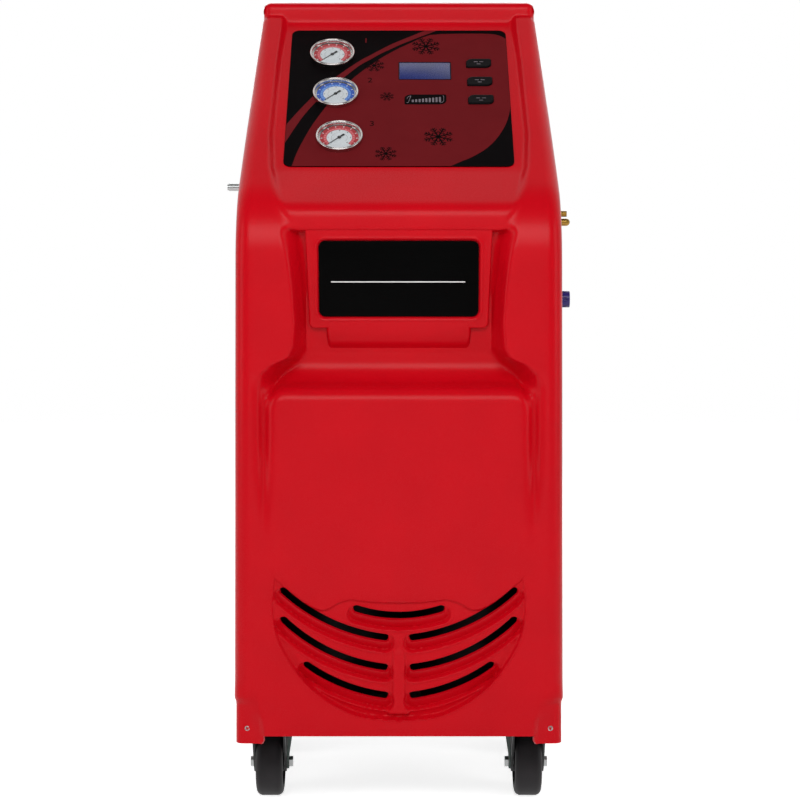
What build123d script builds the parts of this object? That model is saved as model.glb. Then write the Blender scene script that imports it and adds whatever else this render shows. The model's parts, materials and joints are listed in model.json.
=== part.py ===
from build123d import *
import math
import os

# Portable refrigerant recovery machine: a moulded casing on four casters, with a
# sloping gauge panel, a recessed sign and a louvred air intake.
# Frame: origin on the floor under the middle of the machine, X to the right as
# seen from the front, -Y to the front, +Z up. All sizes are millimetres.

os.makedirs("parts", exist_ok=True)

# Casing
overall_depth = 560.0
shell_depth = 510.0
crest_height = 1210.0
skirt_height = 129.0
base_width = 470.0
shoulder_width = 460.0
crest_width = 428.0
shoulder_drop = 310.0
shell_wall = 5.0
front_lean = 14.0
front_corner_radius = 22.0
shoulder_bend = 150.0
crest_step = 24.0
crest_radius = 12.0
crest_toe = 4.9
shoulder_bow = 0.58

# Sloping control panel
panel_tilt = 41.2
panel_width = 335.0
panel_length = 340.0
panel_low_depth = 110.0
panel_drop = 272.0
panel_thickness = 1.5
panel_corner = 12.0
cheek_rise = 12.0

# Bay between the cheeks: nose, sign, lip, saddle and pillow
bay_half_width = 190.0
bay_waist = 145.0
nose_depth = 26.0
nose_radius = 34.0
bed_fillet = 14.0
sign_drop = 365.0
surround_height = 137.0
bay_depth = 52.0
lip_height = 32.0
lip_half_width = 103.0
saddle_depth = 76.0
saddle_radius = 30.0
saddle_height = 48.0
pillow_half_width = 186.0
pillow_slope = 7.0
groove_length = 223.0
groove_radius = 10.5

# Sign
sign_width = 226.0
sign_height = 107.5
sign_thickness = 2.5
sign_rim_margin = 5.5
sign_rim_depth = 4.0
surround_half_width = 132.0

# Air intake
vent_top = 366.0
vent_foot = 158.0
vent_half_width = 182.0
vent_bowl_depth = 6.0
louvre_width = 24.0
louvre_depth = 5.0
slot_width = 9.0
louvre_drop = 5.0

# Lower corners of the casing
corner_top = 178.0
corner_depth = 12.0
corner_inset = 3.5
corner_inner = 194.0
tab_foot = 116.0
tab_screw_x = 216.0
tab_screw_height = 138.0

# Base pan and inner frame
pan_height = 128.0
pan_wall = 2.5
pan_lip = 32.0
fit_gap = 0.3
post_size = 25.0
post_wall = 2.5
shelf_height = 640.0
shelf_thickness = 2.0

# Rear
cover_thickness = 2.0
cover_inset = 1.5
handle_tube = 25.0
handle_span = 300.0
handle_drop = 90.0
handle_bend = 24.0
handle_flange = 50.0
handle_flange_thickness = 5.0
boss_radius = 6.0
boss_length = 18.0
screw_radius = 2.0
screw_length = 16.0
screw_head_radius = 4.2
screw_head_height = 2.6
thread_clearance = 0.1

# Gauges
gauge_radius = 34.5
gauge_case_radius = 30.0
gauge_rim_height = 7.5
gauge_case_depth = 28.0
gauge_hole_gap = 0.5
gauge_staff_radius = 1.0
gauge_stem_radius = 6.0
gauge_stem_length = 18.0
needle_length = 23.0
needle_tail = 10.0
gauge_places = {
    "upper": (-103.0, 103.8),
    "middle": (-95.5, 2.3),
    "lower": (-87.5, -104.6),
}

# Display and buttons
display_width = 78.0
display_height = 43.0
display_centre = (39.7, 62.4)
display_ledge = 3.0
button_width = 38.0
button_height = 22.0
button_rise = 2.2
button_travel = 2.0
button_flange = 3.0
key_gap = 0.4
key_cap_depth = 6.8
key_stem_length = 3.2
key_stem_radius = 3.0
button_centres = {
    "upper": (122.6, 81.2),
    "middle": (123.1, 34.6),
    "lower": (123.6, -11.2),
}
board_drop = 13.4
board_thickness = 1.6
pillar_radius = 4.0
pillar_root = 2.0

# Casters
wheel_diameter = 100.0
wheel_width = 40.0
tyre_radius = 9.0
caster_half_span = 193.0
front_caster_depth = 125.0
rear_caster_inset = 100.0
rear_caster_half_span = 200.0
caster_trail = 30.0
caster_height = 128.0
caster_plate_thickness = 4.0
caster_plate_width = 62.0
caster_plate_length = 84.0
fork_thickness = 3.0
fork_gap = 1.5
fork_crown_height = 109.0
axle_radius = 5.0
axle_clearance = 0.05
nut_thickness = 5.5
nut_radius = 8.0

pedal_thickness = 3.0

# Power entry and grille on the rear cover
entry_x = -120.0
entry_height = 240.0
entry_width = 28.0
entry_length = 50.0
inlet_width = 24.0
inlet_tall = 17.0
inlet_drop = 12.0
rocker_width = 14.0
rocker_tall = 19.0
rocker_rise = 12.0
rocker_tilt = 7.0
grille_rings = 5
grille_pitch = 15.0
grille_gap = 8.0
louvre_rows = 5
louvre_x = 95.0
louvre_foot = 330.0
louvre_pitch = 16.0
louvre_length = 120.0
louvre_gap = 6.0
grille_middle = 22.0
grille_spoke = 7.0

# Fittings on the sides
fitting_depth = 200.0
port_drop = 298.0
fitting_stand = 26.0
port_radius = 5.55
port_length = 20.0
port_seat = 1.1
port_collar_radius = 8.0
port_nut_radius = 9.0
port_tip = 2.0
valve_drop = 350.0
knob_drop = 465.0
knob_radius = 12.5
knob_length = 18.0
knob_stem_radius = 3.0
knob_groove_radius = 4.0

ring_rise = 12.5
ring_radius = 4.5

# Inside
fan_rise = 3.0
fan_frame_size = 200.0
fan_radius = 88.0
fan_depth = 50.0
fan_shaft_radius = 3.0
fan_hub_radius = 22.0
fan_blade_pitch = 32.0
fan_blade_width = 32.0
fan_blade_thickness = 2.0
fan_blades = 7
motor_radius = 26.0
motor_length = 14.0
condenser_depth = 42.0
condenser_fins = 14
tank_radius = 98.0
tank_height = 370.0
tank_x = -94.0
tank_depth = 190.0
cell_height = 26.0
platform_thickness = 4.0
compressor_radius = 78.0
compressor_height = 190.0
compressor_wall = 9.0
tank_wall = 3.0
compressor_x = 110.0
compressor_depth = 150.0
pump_x = 105.0
pump_motor_radius = 48.0
pump_motor_length = 110.0
pump_fin = 4.0
pump_head_length = 52.0
pump_head_height = 100.0
pump_axis_rise = 62.0
pump_back_gap = 43.0
manifold_depth = 300.0
manifold_length = 180.0
manifold_width = 36.0
manifold_height = 34.0
manifold_x = -60.0
coil_size = 26.0
coil_count = 6
drier_x = 110.0
drier_radius = 27.0
drier_length = 110.0
drier_end = 12.0
pipe_radius = 4.75

shoulder_height = crest_height - shoulder_drop
panel_low_height = crest_height - panel_drop
sign_top = crest_height - sign_drop
sign_foot = sign_top - surround_height
lip_foot = sign_foot - lip_height
pillow_top = lip_foot - saddle_height
groove_foot = pillow_top - groove_length
handle_height = crest_height - handle_drop
port_height = crest_height - port_drop
valve_height = crest_height - valve_drop
knob_height = crest_height - knob_drop
port_reach = shoulder_width / 2 + fitting_stand
fan_height = shelf_height + shelf_thickness + fan_frame_size / 2 + fan_rise
rear_caster_depth = shell_depth - rear_caster_inset
inlet_height = entry_height - inlet_drop
rocker_height = entry_height + rocker_rise
front = -overall_depth / 2
back = front + shell_depth
rear = back + cover_thickness
tilt_cos = math.cos(math.radians(panel_tilt))
tilt_sin = math.sin(math.radians(panel_tilt))
far = 80.0
compressor_y = front + compressor_depth
pump_back = back - pump_back_gap
manifold_y = front + manifold_depth


def front_at(height):
    """Y of the casing's front face, which leans back a little as it rises."""
    return front + front_lean * (height - skirt_height) / (shoulder_height - skirt_height)


def side_at(height):
    """X of the casing's right side below the shoulder."""
    taper = (base_width - shoulder_width) / 2
    return base_width / 2 - taper * (height - skirt_height) / (shoulder_height - skirt_height)


def slope_height(depth, rise):
    """Height of the sloping bed, or of a line that stands off it by rise."""
    run = depth - panel_low_depth + rise * tilt_sin
    return panel_low_height + rise * tilt_cos + run * tilt_sin / tilt_cos


ridge_top = crest_height - crest_step
ridge_run = (ridge_top - slope_height(0, cheek_rise)) * tilt_cos / tilt_sin
crest_setback = ridge_run + crest_toe
panel_mid_depth = panel_low_depth + panel_length / 2 * tilt_cos
panel_mid_height = panel_low_height + panel_length / 2 * tilt_sin
panel_plane = Plane(
    origin=(0, front + panel_mid_depth, panel_mid_height),
    x_dir=(1, 0, 0),
    z_dir=(0, -tilt_sin, tilt_cos),
)
face_lean = math.atan2(front_lean, shoulder_height - skirt_height)
vent_mid = (vent_top + vent_foot) / 2
vent_plane = Plane(
    origin=(0, front_at(vent_mid), vent_mid),
    x_dir=(1, 0, 0),
    z_dir=(0, -math.cos(face_lean), math.sin(face_lean)),
)


def side_face(points, radii):
    """A face in the YZ plane from (depth behind the front, height) points."""
    corners = [(front + depth, height) for depth, height in points]
    return Plane.YZ * make_face(FilletPolyline(*corners, radius=radii, close=True))


def outline_face(half):
    """A face in the XZ plane from the right half's (x, height, radius) rows, top first."""
    left = [(-x, height, radius) for x, height, radius in reversed(half)]
    rows = list(half) + left
    points = [(x, height) for x, height, _ in rows]
    radii = [radius for _, _, radius in rows]
    return Plane.XZ * make_face(FilletPolyline(*points, radius=radii, close=True))


def grown(face, amount):
    """The face grown by amount all round, or shrunk where it is negative."""
    if amount == 0:
        return face
    return offset(face, amount=amount, kind=Kind.INTERSECTION)


def along_x(face, half_width):
    return extrude(face, amount=half_width, both=True)


def along_y(face):
    """Extrudes an XZ face right through the casing from front to back."""
    return extrude(face, amount=overall_depth, both=True)


def both_sides(shape):
    return shape + mirror(shape, Plane.YZ)


def rod(start, end, radius):
    """A round bar between two points."""
    line = Vector(*end) - Vector(*start)
    plane = Plane(origin=start, z_dir=line)
    return extrude(plane * Circle(radius), amount=line.length)


def box_between(low, high):
    """A box from its lowest and highest corners."""
    size = [b - a for a, b in zip(low, high)]
    middle = [(a + b) / 2 for a, b in zip(low, high)]
    return Pos(*middle) * Box(*size)


def casing_side(inset):
    """Side view of the casing below its crest, open below and behind where inset."""
    low = skirt_height - (far if inset else 0)
    behind = shell_depth + (far if inset else 0)
    ridge_low = slope_height(front_lean, cheek_rise)
    points = [
        (front_at(low) - front, low),
        (front_lean, ridge_low),
        (ridge_run, ridge_top),
        (behind, ridge_top),
        (behind, low),
    ]
    return grown(side_face(points, [0, shoulder_bend, 0, 0, 0]), -inset)


def casing_outline(inset):
    """Front view of the casing: upright below, leaning in above the shoulder."""
    low = skirt_height - far
    foot = (side_at(low), low)
    shoulder = (shoulder_width / 2, shoulder_height)
    crest_side = (crest_width / 2, crest_height - crest_step)
    crest_top = (crest_width / 2, crest_height + far)
    middle = (
        crest_side[0] + (shoulder[0] - crest_side[0]) * shoulder_bow,
        (shoulder[1] + crest_side[1]) / 2,
    )
    lean_in = ThreePointArc(shoulder, middle, crest_side)
    right = [Line(foot, shoulder), lean_in, Line(crest_side, crest_top)]
    left = [mirror(edge, Plane.YZ) for edge in right]
    top = Line(crest_top, (-crest_top[0], crest_top[1]))
    floor = Line((-foot[0], foot[1]), foot)
    return grown(Plane.XZ * make_face(Curve() + right + [top] + left + [floor]), -inset)


def casing_form(inset):
    """The casing as a block, or the room inside its wall where inset is the wall."""
    body = along_x(casing_side(inset), base_width) & along_y(casing_outline(inset))
    front_edges = [
        edge for edge in body.edges()
        if abs(edge.center().X) > crest_width / 2 - inset - 3.0
        and edge.center().Y < front + crest_setback
        and edge.length > 2 * front_corner_radius
        and edge.center().Z > skirt_height - far + 1.0
        and abs(edge.center().Z - (crest_height - crest_step - inset)) > 1.0
    ]
    body = fillet(front_edges, front_corner_radius - inset)
    behind = back + (far if inset else 0)
    half = crest_width / 2 - inset
    crest_low = crest_height - 3 * crest_step
    crest_front = front + crest_setback + inset
    crest = box_between((-half, crest_front, crest_low), (half, behind, crest_height - inset))
    crest_edges = [
        edge for edge in crest.edges()
        if (edge.center().Z > crest_height - inset - 0.1 and edge.center().Y < behind - 1.0)
        or (edge.center().Y < crest_front + 0.1 and edge.center().Z > crest_low + 1.0)
    ]
    return body + fillet(crest_edges, crest_radius - inset)


def bay_space(grow):
    """The room in front of the panel bed, nose, bay floor and saddle."""
    sky = crest_height + far
    ahead = -far
    profile = side_face([
        (ahead, sky),
        (crest_setback, sky),
        (crest_setback, slope_height(crest_setback, 0)),
        (nose_depth, slope_height(nose_depth, 0)),
        (nose_depth - 2.0, sign_top),
        (bay_depth, sign_top),
        (bay_depth + 14.0, lip_foot + 14.0),
        (saddle_depth, lip_foot - 12.0),
        (saddle_depth, pillow_top),
        (ahead, pillow_top - pillow_slope),
    ], [0, 0, bed_fillet, nose_radius, 2.0, 3.0, 20.0, 8.0, saddle_radius, 0])
    mask = outline_face([
        (bay_half_width, sky, 0),
        (bay_half_width, slope_height(nose_depth, 0) + 86.0, 80.0),
        (bay_waist + 12.0, sign_top - 16.0, 70.0),
        (bay_waist, lip_foot, 16.0),
        (pillow_half_width, pillow_top + 6.0, 14.0),
        (pillow_half_width, pillow_top - 28.0, 0),
    ])
    return along_x(grown(profile, grow), base_width) & along_y(grown(mask, grow))


def sign_surround(shrink):
    """The raised box round the sign and the lip below it."""
    hidden = bay_depth + 38.0
    box = side_face([
        (nose_depth + 1.0, sign_top + 3.0),
        (nose_depth + 19.0, sign_foot),
        (hidden, sign_foot),
        (hidden, sign_top + 3.0),
    ], 0)
    box_front = outline_face([
        (surround_half_width, sign_top + 3.0, 0),
        (surround_half_width - 5.0, sign_foot, 8.0),
    ])
    lip = side_face([
        (nose_depth + 18.0, sign_foot + 8.0),
        (nose_depth + 20.0, sign_foot - 8.0),
        (nose_depth + 36.0, lip_foot),
        (hidden, lip_foot),
        (hidden, sign_foot + 8.0),
    ], [0, 10.0, 6.0, 0, 0])
    lip_front = outline_face([
        (lip_half_width, sign_foot + 8.0, 0),
        (lip_half_width, lip_foot, 5.0),
    ])
    surround = along_x(grown(box, -shrink), base_width) & along_y(grown(box_front, -shrink))
    return surround + (along_x(grown(lip, -shrink), base_width) & along_y(grown(lip_front, -shrink)))


def into_front(face, depth):
    """Cuts a face drawn on the air intake's plane this deep into the casing."""
    return extrude(vent_plane.offset(far) * face, amount=-(far + depth))


def vent_flank(grow):
    """Right side of the intake field, from its top corner round to the bottom."""
    low = vent_foot - vent_mid - grow
    high = vent_top - vent_mid
    wide = vent_half_width + grow
    return Spline((wide - 4.0, high + grow), (wide, high - 52.0), (wide * 0.93, high - 106.0),
                  (wide * 0.70, high - 164.0), (wide * 0.36, low + 9.0), (0, low))


def vent_outline():
    """Outline of the dished air intake, like the lower half of a shield."""
    high = vent_top - vent_mid
    hump = ThreePointArc((-68.0, high - 33.0), (0, high - 38.0), (68.0, high - 33.0))
    shoulder = Spline((68.0, high - 33.0), (86.0, high - 38.0), (107.0, high - 48.0),
                      (134.0, high - 37.0), (vent_half_width - 4.0, high))
    half = [shoulder, vent_flank(0)]
    return make_face(Curve() + [hump] + half + [mirror(edge, Plane.YZ) for edge in half])


def vent_backing():
    """The thicker ground behind the intake, which leaves a wall behind its scoops."""
    flank = vent_flank(shell_wall)
    top = Line(flank @ 0, (-(flank @ 0).X, (flank @ 0).Y))
    face = make_face(Curve() + [top, flank, mirror(flank, Plane.YZ)])
    return into_front(face, vent_bowl_depth + louvre_depth + shell_wall)


def slot_paths():
    """Centre lines of the seven intake slots, drawn on the intake's plane."""
    high = vent_top - vent_mid
    right = [
        [(165.0, high - 21.0), (90.0, high - 69.0), (19.5, high - 88.0)],
        [(165.0, high - 64.0), (97.0, high - 109.0), (21.6, high - 131.0)],
        [(132.5, high - 128.0), (77.0, high - 157.0), (21.6, high - 170.5)],
    ]
    paths = [ThreePointArc((-60.0, high - 47.0), (0, high - 56.0), (60.0, high - 47.0))]
    for points in right:
        paths.append(ThreePointArc(*points))
        paths.append(ThreePointArc(*[(-x, y) for x, y in points]))
    return paths


def vent_space():
    """The dished field and the seven scoops round the slots."""
    space = into_front(vent_outline(), vent_bowl_depth)
    for path in slot_paths():
        scoop = Pos(0, -louvre_drop) * SlotArc(path, louvre_width)
        space += into_front(scoop, vent_bowl_depth + louvre_depth)
    return space


def vent_slots():
    return [into_front(SlotArc(path, slot_width), far) for path in slot_paths()]


def grooves(grow):
    """The two upright grooves beside the pillow, fading out downwards."""
    length = pillow_top - groove_foot
    mid = (pillow_top + groove_foot) / 2
    cone = Cone(1.5 + grow, groove_radius + grow, length)
    groove = Pos(pillow_half_width + 2.0, front_at(mid), mid) * cone
    cap = Pos(pillow_half_width + 2.0, front_at(mid), pillow_top) * Sphere(groove_radius + grow)
    return both_sides(groove + cap)


def corner_pockets(grow):
    """The set-back corners that the screw tabs lie in."""
    outer = base_width / 2 + far
    low = skirt_height - far
    front_outline = Plane.XZ * make_face(FilletPolyline(
        (outer, corner_top), (base_width / 2 - 12.0, corner_top), (corner_inner + 3.0, corner_top - 34.0),
        (corner_inner - 4.0, low), (outer, low), radius=[0, 16.0, 12.0, 0, 0], close=True))
    pocket_face = grown(front_outline, grow).moved(Location((0, front + corner_depth + grow, 0)))
    pocket = extrude(pocket_face, amount=far)
    side_x = base_width / 2 - corner_inset - grow
    side = box_between((side_x, front - far, low), (outer, front + 70.0 + grow, corner_top + grow))
    return both_sides(pocket + side)


def screw_tabs():
    """The tongues of the casing that hang over the base pan's front flange."""
    outer = base_width / 2 - corner_inset
    tongue = Plane.XZ * make_face(FilletPolyline(
        (outer, skirt_height + 8.0), (outer, tab_foot + 5.0), (corner_inner + 18.0, tab_foot),
        (corner_inner + 5.0, tab_foot + 1.0), (corner_inner - 2.0, skirt_height - 1.0),
        (corner_inner - 2.0, skirt_height + 8.0), radius=[0, 3.0, 4.0, 4.0, 0, 0], close=True))
    plate = extrude(tongue.moved(Location((0, front + corner_depth + shell_wall, 0))), amount=shell_wall)
    return both_sides(plate)


def on_panel(place, lift=0.0):
    """Location on the sloping bed: (across, up the slope), lifted off it."""
    return panel_plane.location * Pos(place[0], place[1], lift)


def leaf(width, height):
    """A key outline with two large and two small corners."""
    w = width / 2
    h = height / 2
    big = min(9.0, 0.45 * height)
    small = 2.5
    corners = [(-w, -h), (w, -h), (w, h), (-w, h)]
    return make_face(FilletPolyline(*corners, radius=[small, big, small, big], close=True))


def gauge_holes():
    radius = gauge_case_radius + gauge_hole_gap
    return [on_panel(place) * Cylinder(radius, far) for place in gauge_places.values()]


def key_holes(gap):
    hole = extrude(leaf(button_width + 2 * gap, button_height + 2 * gap), amount=far / 2, both=True)
    return [on_panel(place) * hole for place in button_centres.values()]


def display_hole(gap):
    return on_panel(display_centre) * Box(display_width + 2 * gap, display_height + 2 * gap, far)


sign_lean = math.atan2(18.0, sign_top + 3.0 - sign_foot)
sign_mid = (sign_top + 3.0 + sign_foot) / 2
sign_plane = Plane(
    origin=(0, front + nose_depth + 10.0, sign_mid + 3.0),
    x_dir=(1, 0, 0),
    z_dir=(0, -math.cos(sign_lean), -math.sin(sign_lean)),
)


def sign_recess():
    margin = 2 * sign_rim_margin
    rim = RectangleRounded(sign_width + margin, sign_height + margin, 12.0)
    return extrude(sign_plane.offset(far / 4) * rim, amount=-(far / 4 + sign_rim_depth))


def sign_recess_backing():
    margin = 2 * sign_rim_margin + 2 * shell_wall
    rim = RectangleRounded(sign_width + margin, sign_height + margin, 12.0)
    return extrude(sign_plane.offset(far / 4) * rim, amount=-(far / 4 + sign_rim_depth + shell_wall))


def cover_screw_places():
    """Screws round the rear cover: (x, height)."""
    places = []
    for height in (skirt_height + 60.0, 430.0, 680.0, shoulder_height):
        x = side_at(height) - shell_wall - boss_radius + 1.0
        places += [(-x, height), (x, height)]
    top = crest_height - shell_wall - boss_radius + 1.0
    places += [(-110.0, top), (110.0, top)]
    return places


def board_boss_places():
    """Pillars under the bed that carry the control board."""
    left = display_centre[0] - display_width / 2 - 10.0
    right = button_centres["upper"][0] + button_width / 2 + 8.0
    top = display_centre[1] + display_height / 2 + 12.0
    low = button_centres["lower"][1] - button_height / 2 - 8.0
    return [(left, top), (right, top), (left, low), (right, low)]


def casing_screw_holes():
    radius = screw_radius + thread_clearance
    holes = []
    for x, height in cover_screw_places():
        holes.append(rod((x, back - screw_length - 2.0, height), (x, back + 1.0, height), radius))
    for x in (-tab_screw_x, tab_screw_x):
        holes.append(rod((x, front - 1.0, tab_screw_height), (x, front + 40.0, tab_screw_height), radius))
    return holes


def fitting_holes():
    """Holes for the port on the left side and the valves on the right."""
    y = front + fitting_depth
    holes = [rod((-base_width, y, port_height), (0, y, port_height), port_radius + fit_gap)]
    right = [(valve_height, port_radius), (valve_height + ring_rise, ring_radius), (knob_height, 6.0)]
    for height, radius in right:
        holes.append(rod((0, y, height), (base_width, y, height), radius + fit_gap))
    return holes


def front_shell():
    outside = casing_form(0) - (bay_space(0) - sign_surround(0))
    outside = outside - vent_space() - grooves(0) - corner_pockets(0) + screw_tabs() - sign_recess()
    surround_room = sign_surround(shell_wall) - sign_recess_backing()
    room = casing_form(shell_wall) - (bay_space(shell_wall) - surround_room)
    room = room - vent_backing() - grooves(shell_wall) - corner_pockets(shell_wall)
    shell = outside - room
    for x, height in cover_screw_places():
        boss = rod((x, back - boss_length - 4.0, height), (x, back, height), boss_radius)
        shell += boss
    for place in board_boss_places():
        pillar = Cylinder(pillar_radius, board_drop + pillar_root)
        shell += on_panel(place, -shell_wall - board_drop / 2 + pillar_root / 2) * pillar
    windows = key_holes(key_gap) + [display_hole(-display_ledge)]
    for group in (vent_slots(), gauge_holes(), windows, casing_screw_holes(), fitting_holes()):
        shell = shell - group
    return shell


def base_pan():
    """Folded steel tray that carries everything; its lip backs the screw tabs."""
    half = base_width / 2 - corner_inset - shell_wall - fit_gap
    low = (-half, front + corner_depth + shell_wall, pan_height)
    high = (half, back, pan_height + pan_lip)
    pan = box_between(low, high)
    pan -= box_between(
        (low[0] + pan_wall, low[1] + pan_wall, pan_height + pan_wall),
        (high[0] - pan_wall, high[1] - pan_wall, high[2] + 1.0),
    )
    for side in (-1, 1):
        x = side * tab_screw_x
        start = (x, low[1] - 1.0, tab_screw_height)
        pan -= rod(start, (x, low[1] + pan_wall + 1.0, tab_screw_height), screw_radius + thread_clearance)
    return pan


pan_floor = pan_height + pan_wall
post_half_span = base_width / 2 - corner_inset - shell_wall - fit_gap - pan_wall
post_front = front + saddle_depth + shell_wall + 14.0
post_back = back - boss_length - 5.0


def chassis_posts():
    """Four angle-iron posts standing in the pan under the instrument shelf."""
    posts = Part()
    height = shelf_height - pan_floor
    for side in (-1, 1):
        for y, towards in ((post_front, 1), (post_back, -1)):
            outer = side * post_half_span
            inner = side * (post_half_span - post_size)
            xs = sorted((outer, inner))
            ys = sorted((y, y + towards * post_size))
            web = sorted((outer, outer - side * post_wall))
            flange = sorted((y, y + towards * post_wall))
            posts += box_between((web[0], ys[0], pan_floor), (web[1], ys[1], pan_floor + height))
            posts += box_between((xs[0], flange[0], pan_floor), (xs[1], flange[1], pan_floor + height))
    return posts


def instrument_shelf():
    low = (-post_half_span, post_front, shelf_height)
    high = (post_half_span, post_back, shelf_height + shelf_thickness)
    shelf = box_between(low, high)
    for x in (-120.0, 120.0):
        shelf -= Pos(x, back - 150.0, shelf_height) * Cylinder(16.0, 20.0)
    return shelf


def rear_outline(inset):
    """Outline of the casing's open back, down to the skirt."""
    half = crest_width / 2 + base_width
    window = Plane.XZ * make_face(Polyline(
        (-half, skirt_height + inset), (half, skirt_height + inset),
        (half, crest_height - inset), (-half, crest_height - inset), close=True))
    face = casing_outline(inset) & window
    corners = face.vertices().group_by(Axis.Z)[-1]
    return fillet(corners, crest_radius - inset)


def rear_cover():
    """Sheet steel back with a fan grille, exhaust louvres and screw holes."""
    face = rear_outline(cover_inset)
    cover = extrude(face.moved(Location((0, rear, 0))), amount=cover_thickness)
    cuts = []
    spokes = Rectangle(2 * fan_radius, grille_spoke) + Rectangle(grille_spoke, 2 * fan_radius)
    for step in range(grille_rings):
        radius = grille_middle + step * grille_pitch
        ring = Circle(radius + grille_gap / 2) - Circle(radius - grille_gap / 2) - spokes
        plane = Plane(origin=(0, rear + 1.0, fan_height), x_dir=(1, 0, 0), z_dir=(0, -1, 0))
        cuts.append(extrude(plane * ring, amount=cover_thickness + 2.0))
    for side in (-1, 1):
        for row in range(louvre_rows):
            place = (side * louvre_x, rear - cover_thickness / 2, louvre_foot + row * louvre_pitch)
            slot = extrude(SlotOverall(louvre_length, louvre_gap), amount=far / 8, both=True)
            cuts.append(Pos(*place) * Rot(90, 0, 0) * slot)
    for x, height in cover_screw_places():
        cuts.append(rod((x, back - 1.0, height), (x, rear + 1.0, height), screw_radius + thread_clearance))
    cuts.append(Pos(entry_x, rear, entry_height) * Box(entry_width, far / 2, entry_length))
    return cover - cuts


def push_handle():
    """Round steel bar on two flanges bolted to the back."""
    reach = overall_depth / 2 - handle_tube / 2
    x = handle_span / 2
    path = FilletPolyline(
        (-x, rear + handle_flange_thickness, handle_height), (-x, reach, handle_height),
        (x, reach, handle_height), (x, rear + handle_flange_thickness, handle_height), radius=handle_bend)
    start = Plane(origin=(-x, rear + handle_flange_thickness, handle_height), z_dir=(0, 1, 0))
    bar = sweep(start * Circle(handle_tube / 2), path=path)
    for side in (-1, 1):
        foot = (side * x, rear, handle_height)
        bar += rod(foot, (side * x, rear + handle_flange_thickness + 0.5, handle_height), handle_flange / 2)
    return bar


def control_panel():
    """Printed overlay plate on the sloping bed."""
    outline = panel_plane * RectangleRounded(panel_width, panel_length, panel_corner)
    plate = extrude(outline, amount=panel_thickness)
    return plate - gauge_holes() - key_holes(key_gap) - display_hole(fit_gap)


dial_seat = 2.0
dial_thickness = 0.8
lens_seat = 6.0
lens_thickness = 1.7
gauge_wall = 1.5


def gauge_case():
    """Deep cup with a rolled bezel, a dial step and a lens groove."""
    outer = gauge_case_radius
    rim = gauge_radius
    top = panel_thickness + gauge_rim_height
    low = -gauge_case_depth
    bore = outer - gauge_wall
    profile = Plane.XZ * make_face(Polyline(
        (0, low), (outer, low), (outer, panel_thickness), (rim, panel_thickness), (rim, top - 1.5),
        (rim - 1.5, top), (bore + 1.2, top), (bore + 1.2, top - 1.0), (bore + 2.6, top - 1.0),
        (bore + 2.6, lens_seat), (bore + 1.8, lens_seat), (bore + 1.8, dial_seat), (bore, dial_seat),
        (bore, low + gauge_wall), (8.0, low + gauge_wall), (8.0, -3.0),
        (gauge_staff_radius + axle_clearance, -3.0), (gauge_staff_radius + axle_clearance, -18.0), (0, -18.0),
        close=True))
    cup = revolve(profile, Axis.Z)
    stem = Pos(0, 0, low - gauge_stem_length / 2) * Cylinder(gauge_stem_radius, gauge_stem_length)
    return cup + stem


def gauge_dial():
    radius = gauge_case_radius - gauge_wall + 1.6
    plate = Pos(0, 0, dial_seat + dial_thickness / 2) * Cylinder(radius, dial_thickness)
    return plate - Cylinder(2 * gauge_staff_radius, far)


def gauge_lens():
    radius = gauge_case_radius - gauge_wall + 2.3
    return Pos(0, 0, lens_seat + lens_thickness / 2) * Cylinder(radius, lens_thickness)


def gauge_needle():
    """Pointer at its zero stop, tip to the lower left, with its staff."""
    low = dial_seat + dial_thickness + 0.5
    blade = make_face(Polyline(
        (needle_length, 0.25), (needle_length, -0.25), (0, -1.2),
        (-needle_tail, -1.9), (-needle_tail, 1.9), (0, 1.2), close=True))
    pointer = Rot(0, 0, 225) * Pos(0, 0, low) * extrude(blade, amount=0.7)
    hub = Pos(0, 0, low + 0.6) * Cylinder(3.0, 1.2)
    staff = Pos(0, 0, (low - 17.5) / 2) * Cylinder(gauge_staff_radius, low + 17.5)
    return pointer + hub + staff


def key_button():
    """Key cap with a retaining flange under the bed and a stem to its switch."""
    top = panel_thickness + button_rise
    cap = Pos(0, 0, -key_cap_depth) * extrude(leaf(button_width, button_height), amount=top + key_cap_depth)
    edges = cap.edges().group_by(Axis.Z)[-1]
    cap = fillet(edges, 0.8)
    wide = 2 * button_flange
    depth = key_cap_depth - shell_wall - fit_gap
    skirt = extrude(leaf(button_width + wide, button_height + wide), amount=depth)
    flange = Pos(0, 0, -key_cap_depth) * skirt
    stem = Pos(0, 0, -key_cap_depth - key_stem_length / 2) * Cylinder(key_stem_radius, key_stem_length)
    return cap + flange + stem


def display_window():
    return on_panel(display_centre, panel_thickness / 2) * Box(display_width, display_height, panel_thickness)


def display_module():
    """Liquid-crystal block between the bed and the control board."""
    lift = -shell_wall - board_drop / 2
    return on_panel(display_centre, lift) * Box(display_width + 8.0, display_height + 8.0, board_drop)


def control_board():
    """Circuit board on the pillars, with one push switch under each key."""
    places = board_boss_places()
    middle = ((places[0][0] + places[1][0]) / 2, (places[0][1] + places[2][1]) / 2)
    size = (places[1][0] - places[0][0] + 14.0, places[0][1] - places[2][1] + 14.0)
    top = -shell_wall - board_drop
    board = on_panel(middle, top - board_thickness / 2) * Box(size[0], size[1], board_thickness)
    low = -key_cap_depth - key_stem_length - button_travel - fit_gap
    for place in button_centres.values():
        board += on_panel(place, (top + low) / 2) * Box(6.0, 6.0, low - top)
    chips = [((-30.0, -30.0), 26.0, 16.0), ((10.0, -36.0), 14.0, 14.0), ((-34.0, 34.0), 20.0, 20.0)]
    for (u, v), width, height in chips:
        spot = (middle[0] + u, middle[1] + v)
        board += on_panel(spot, top - board_thickness - 2.0) * Box(width, height, 4.0)
    return board


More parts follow.
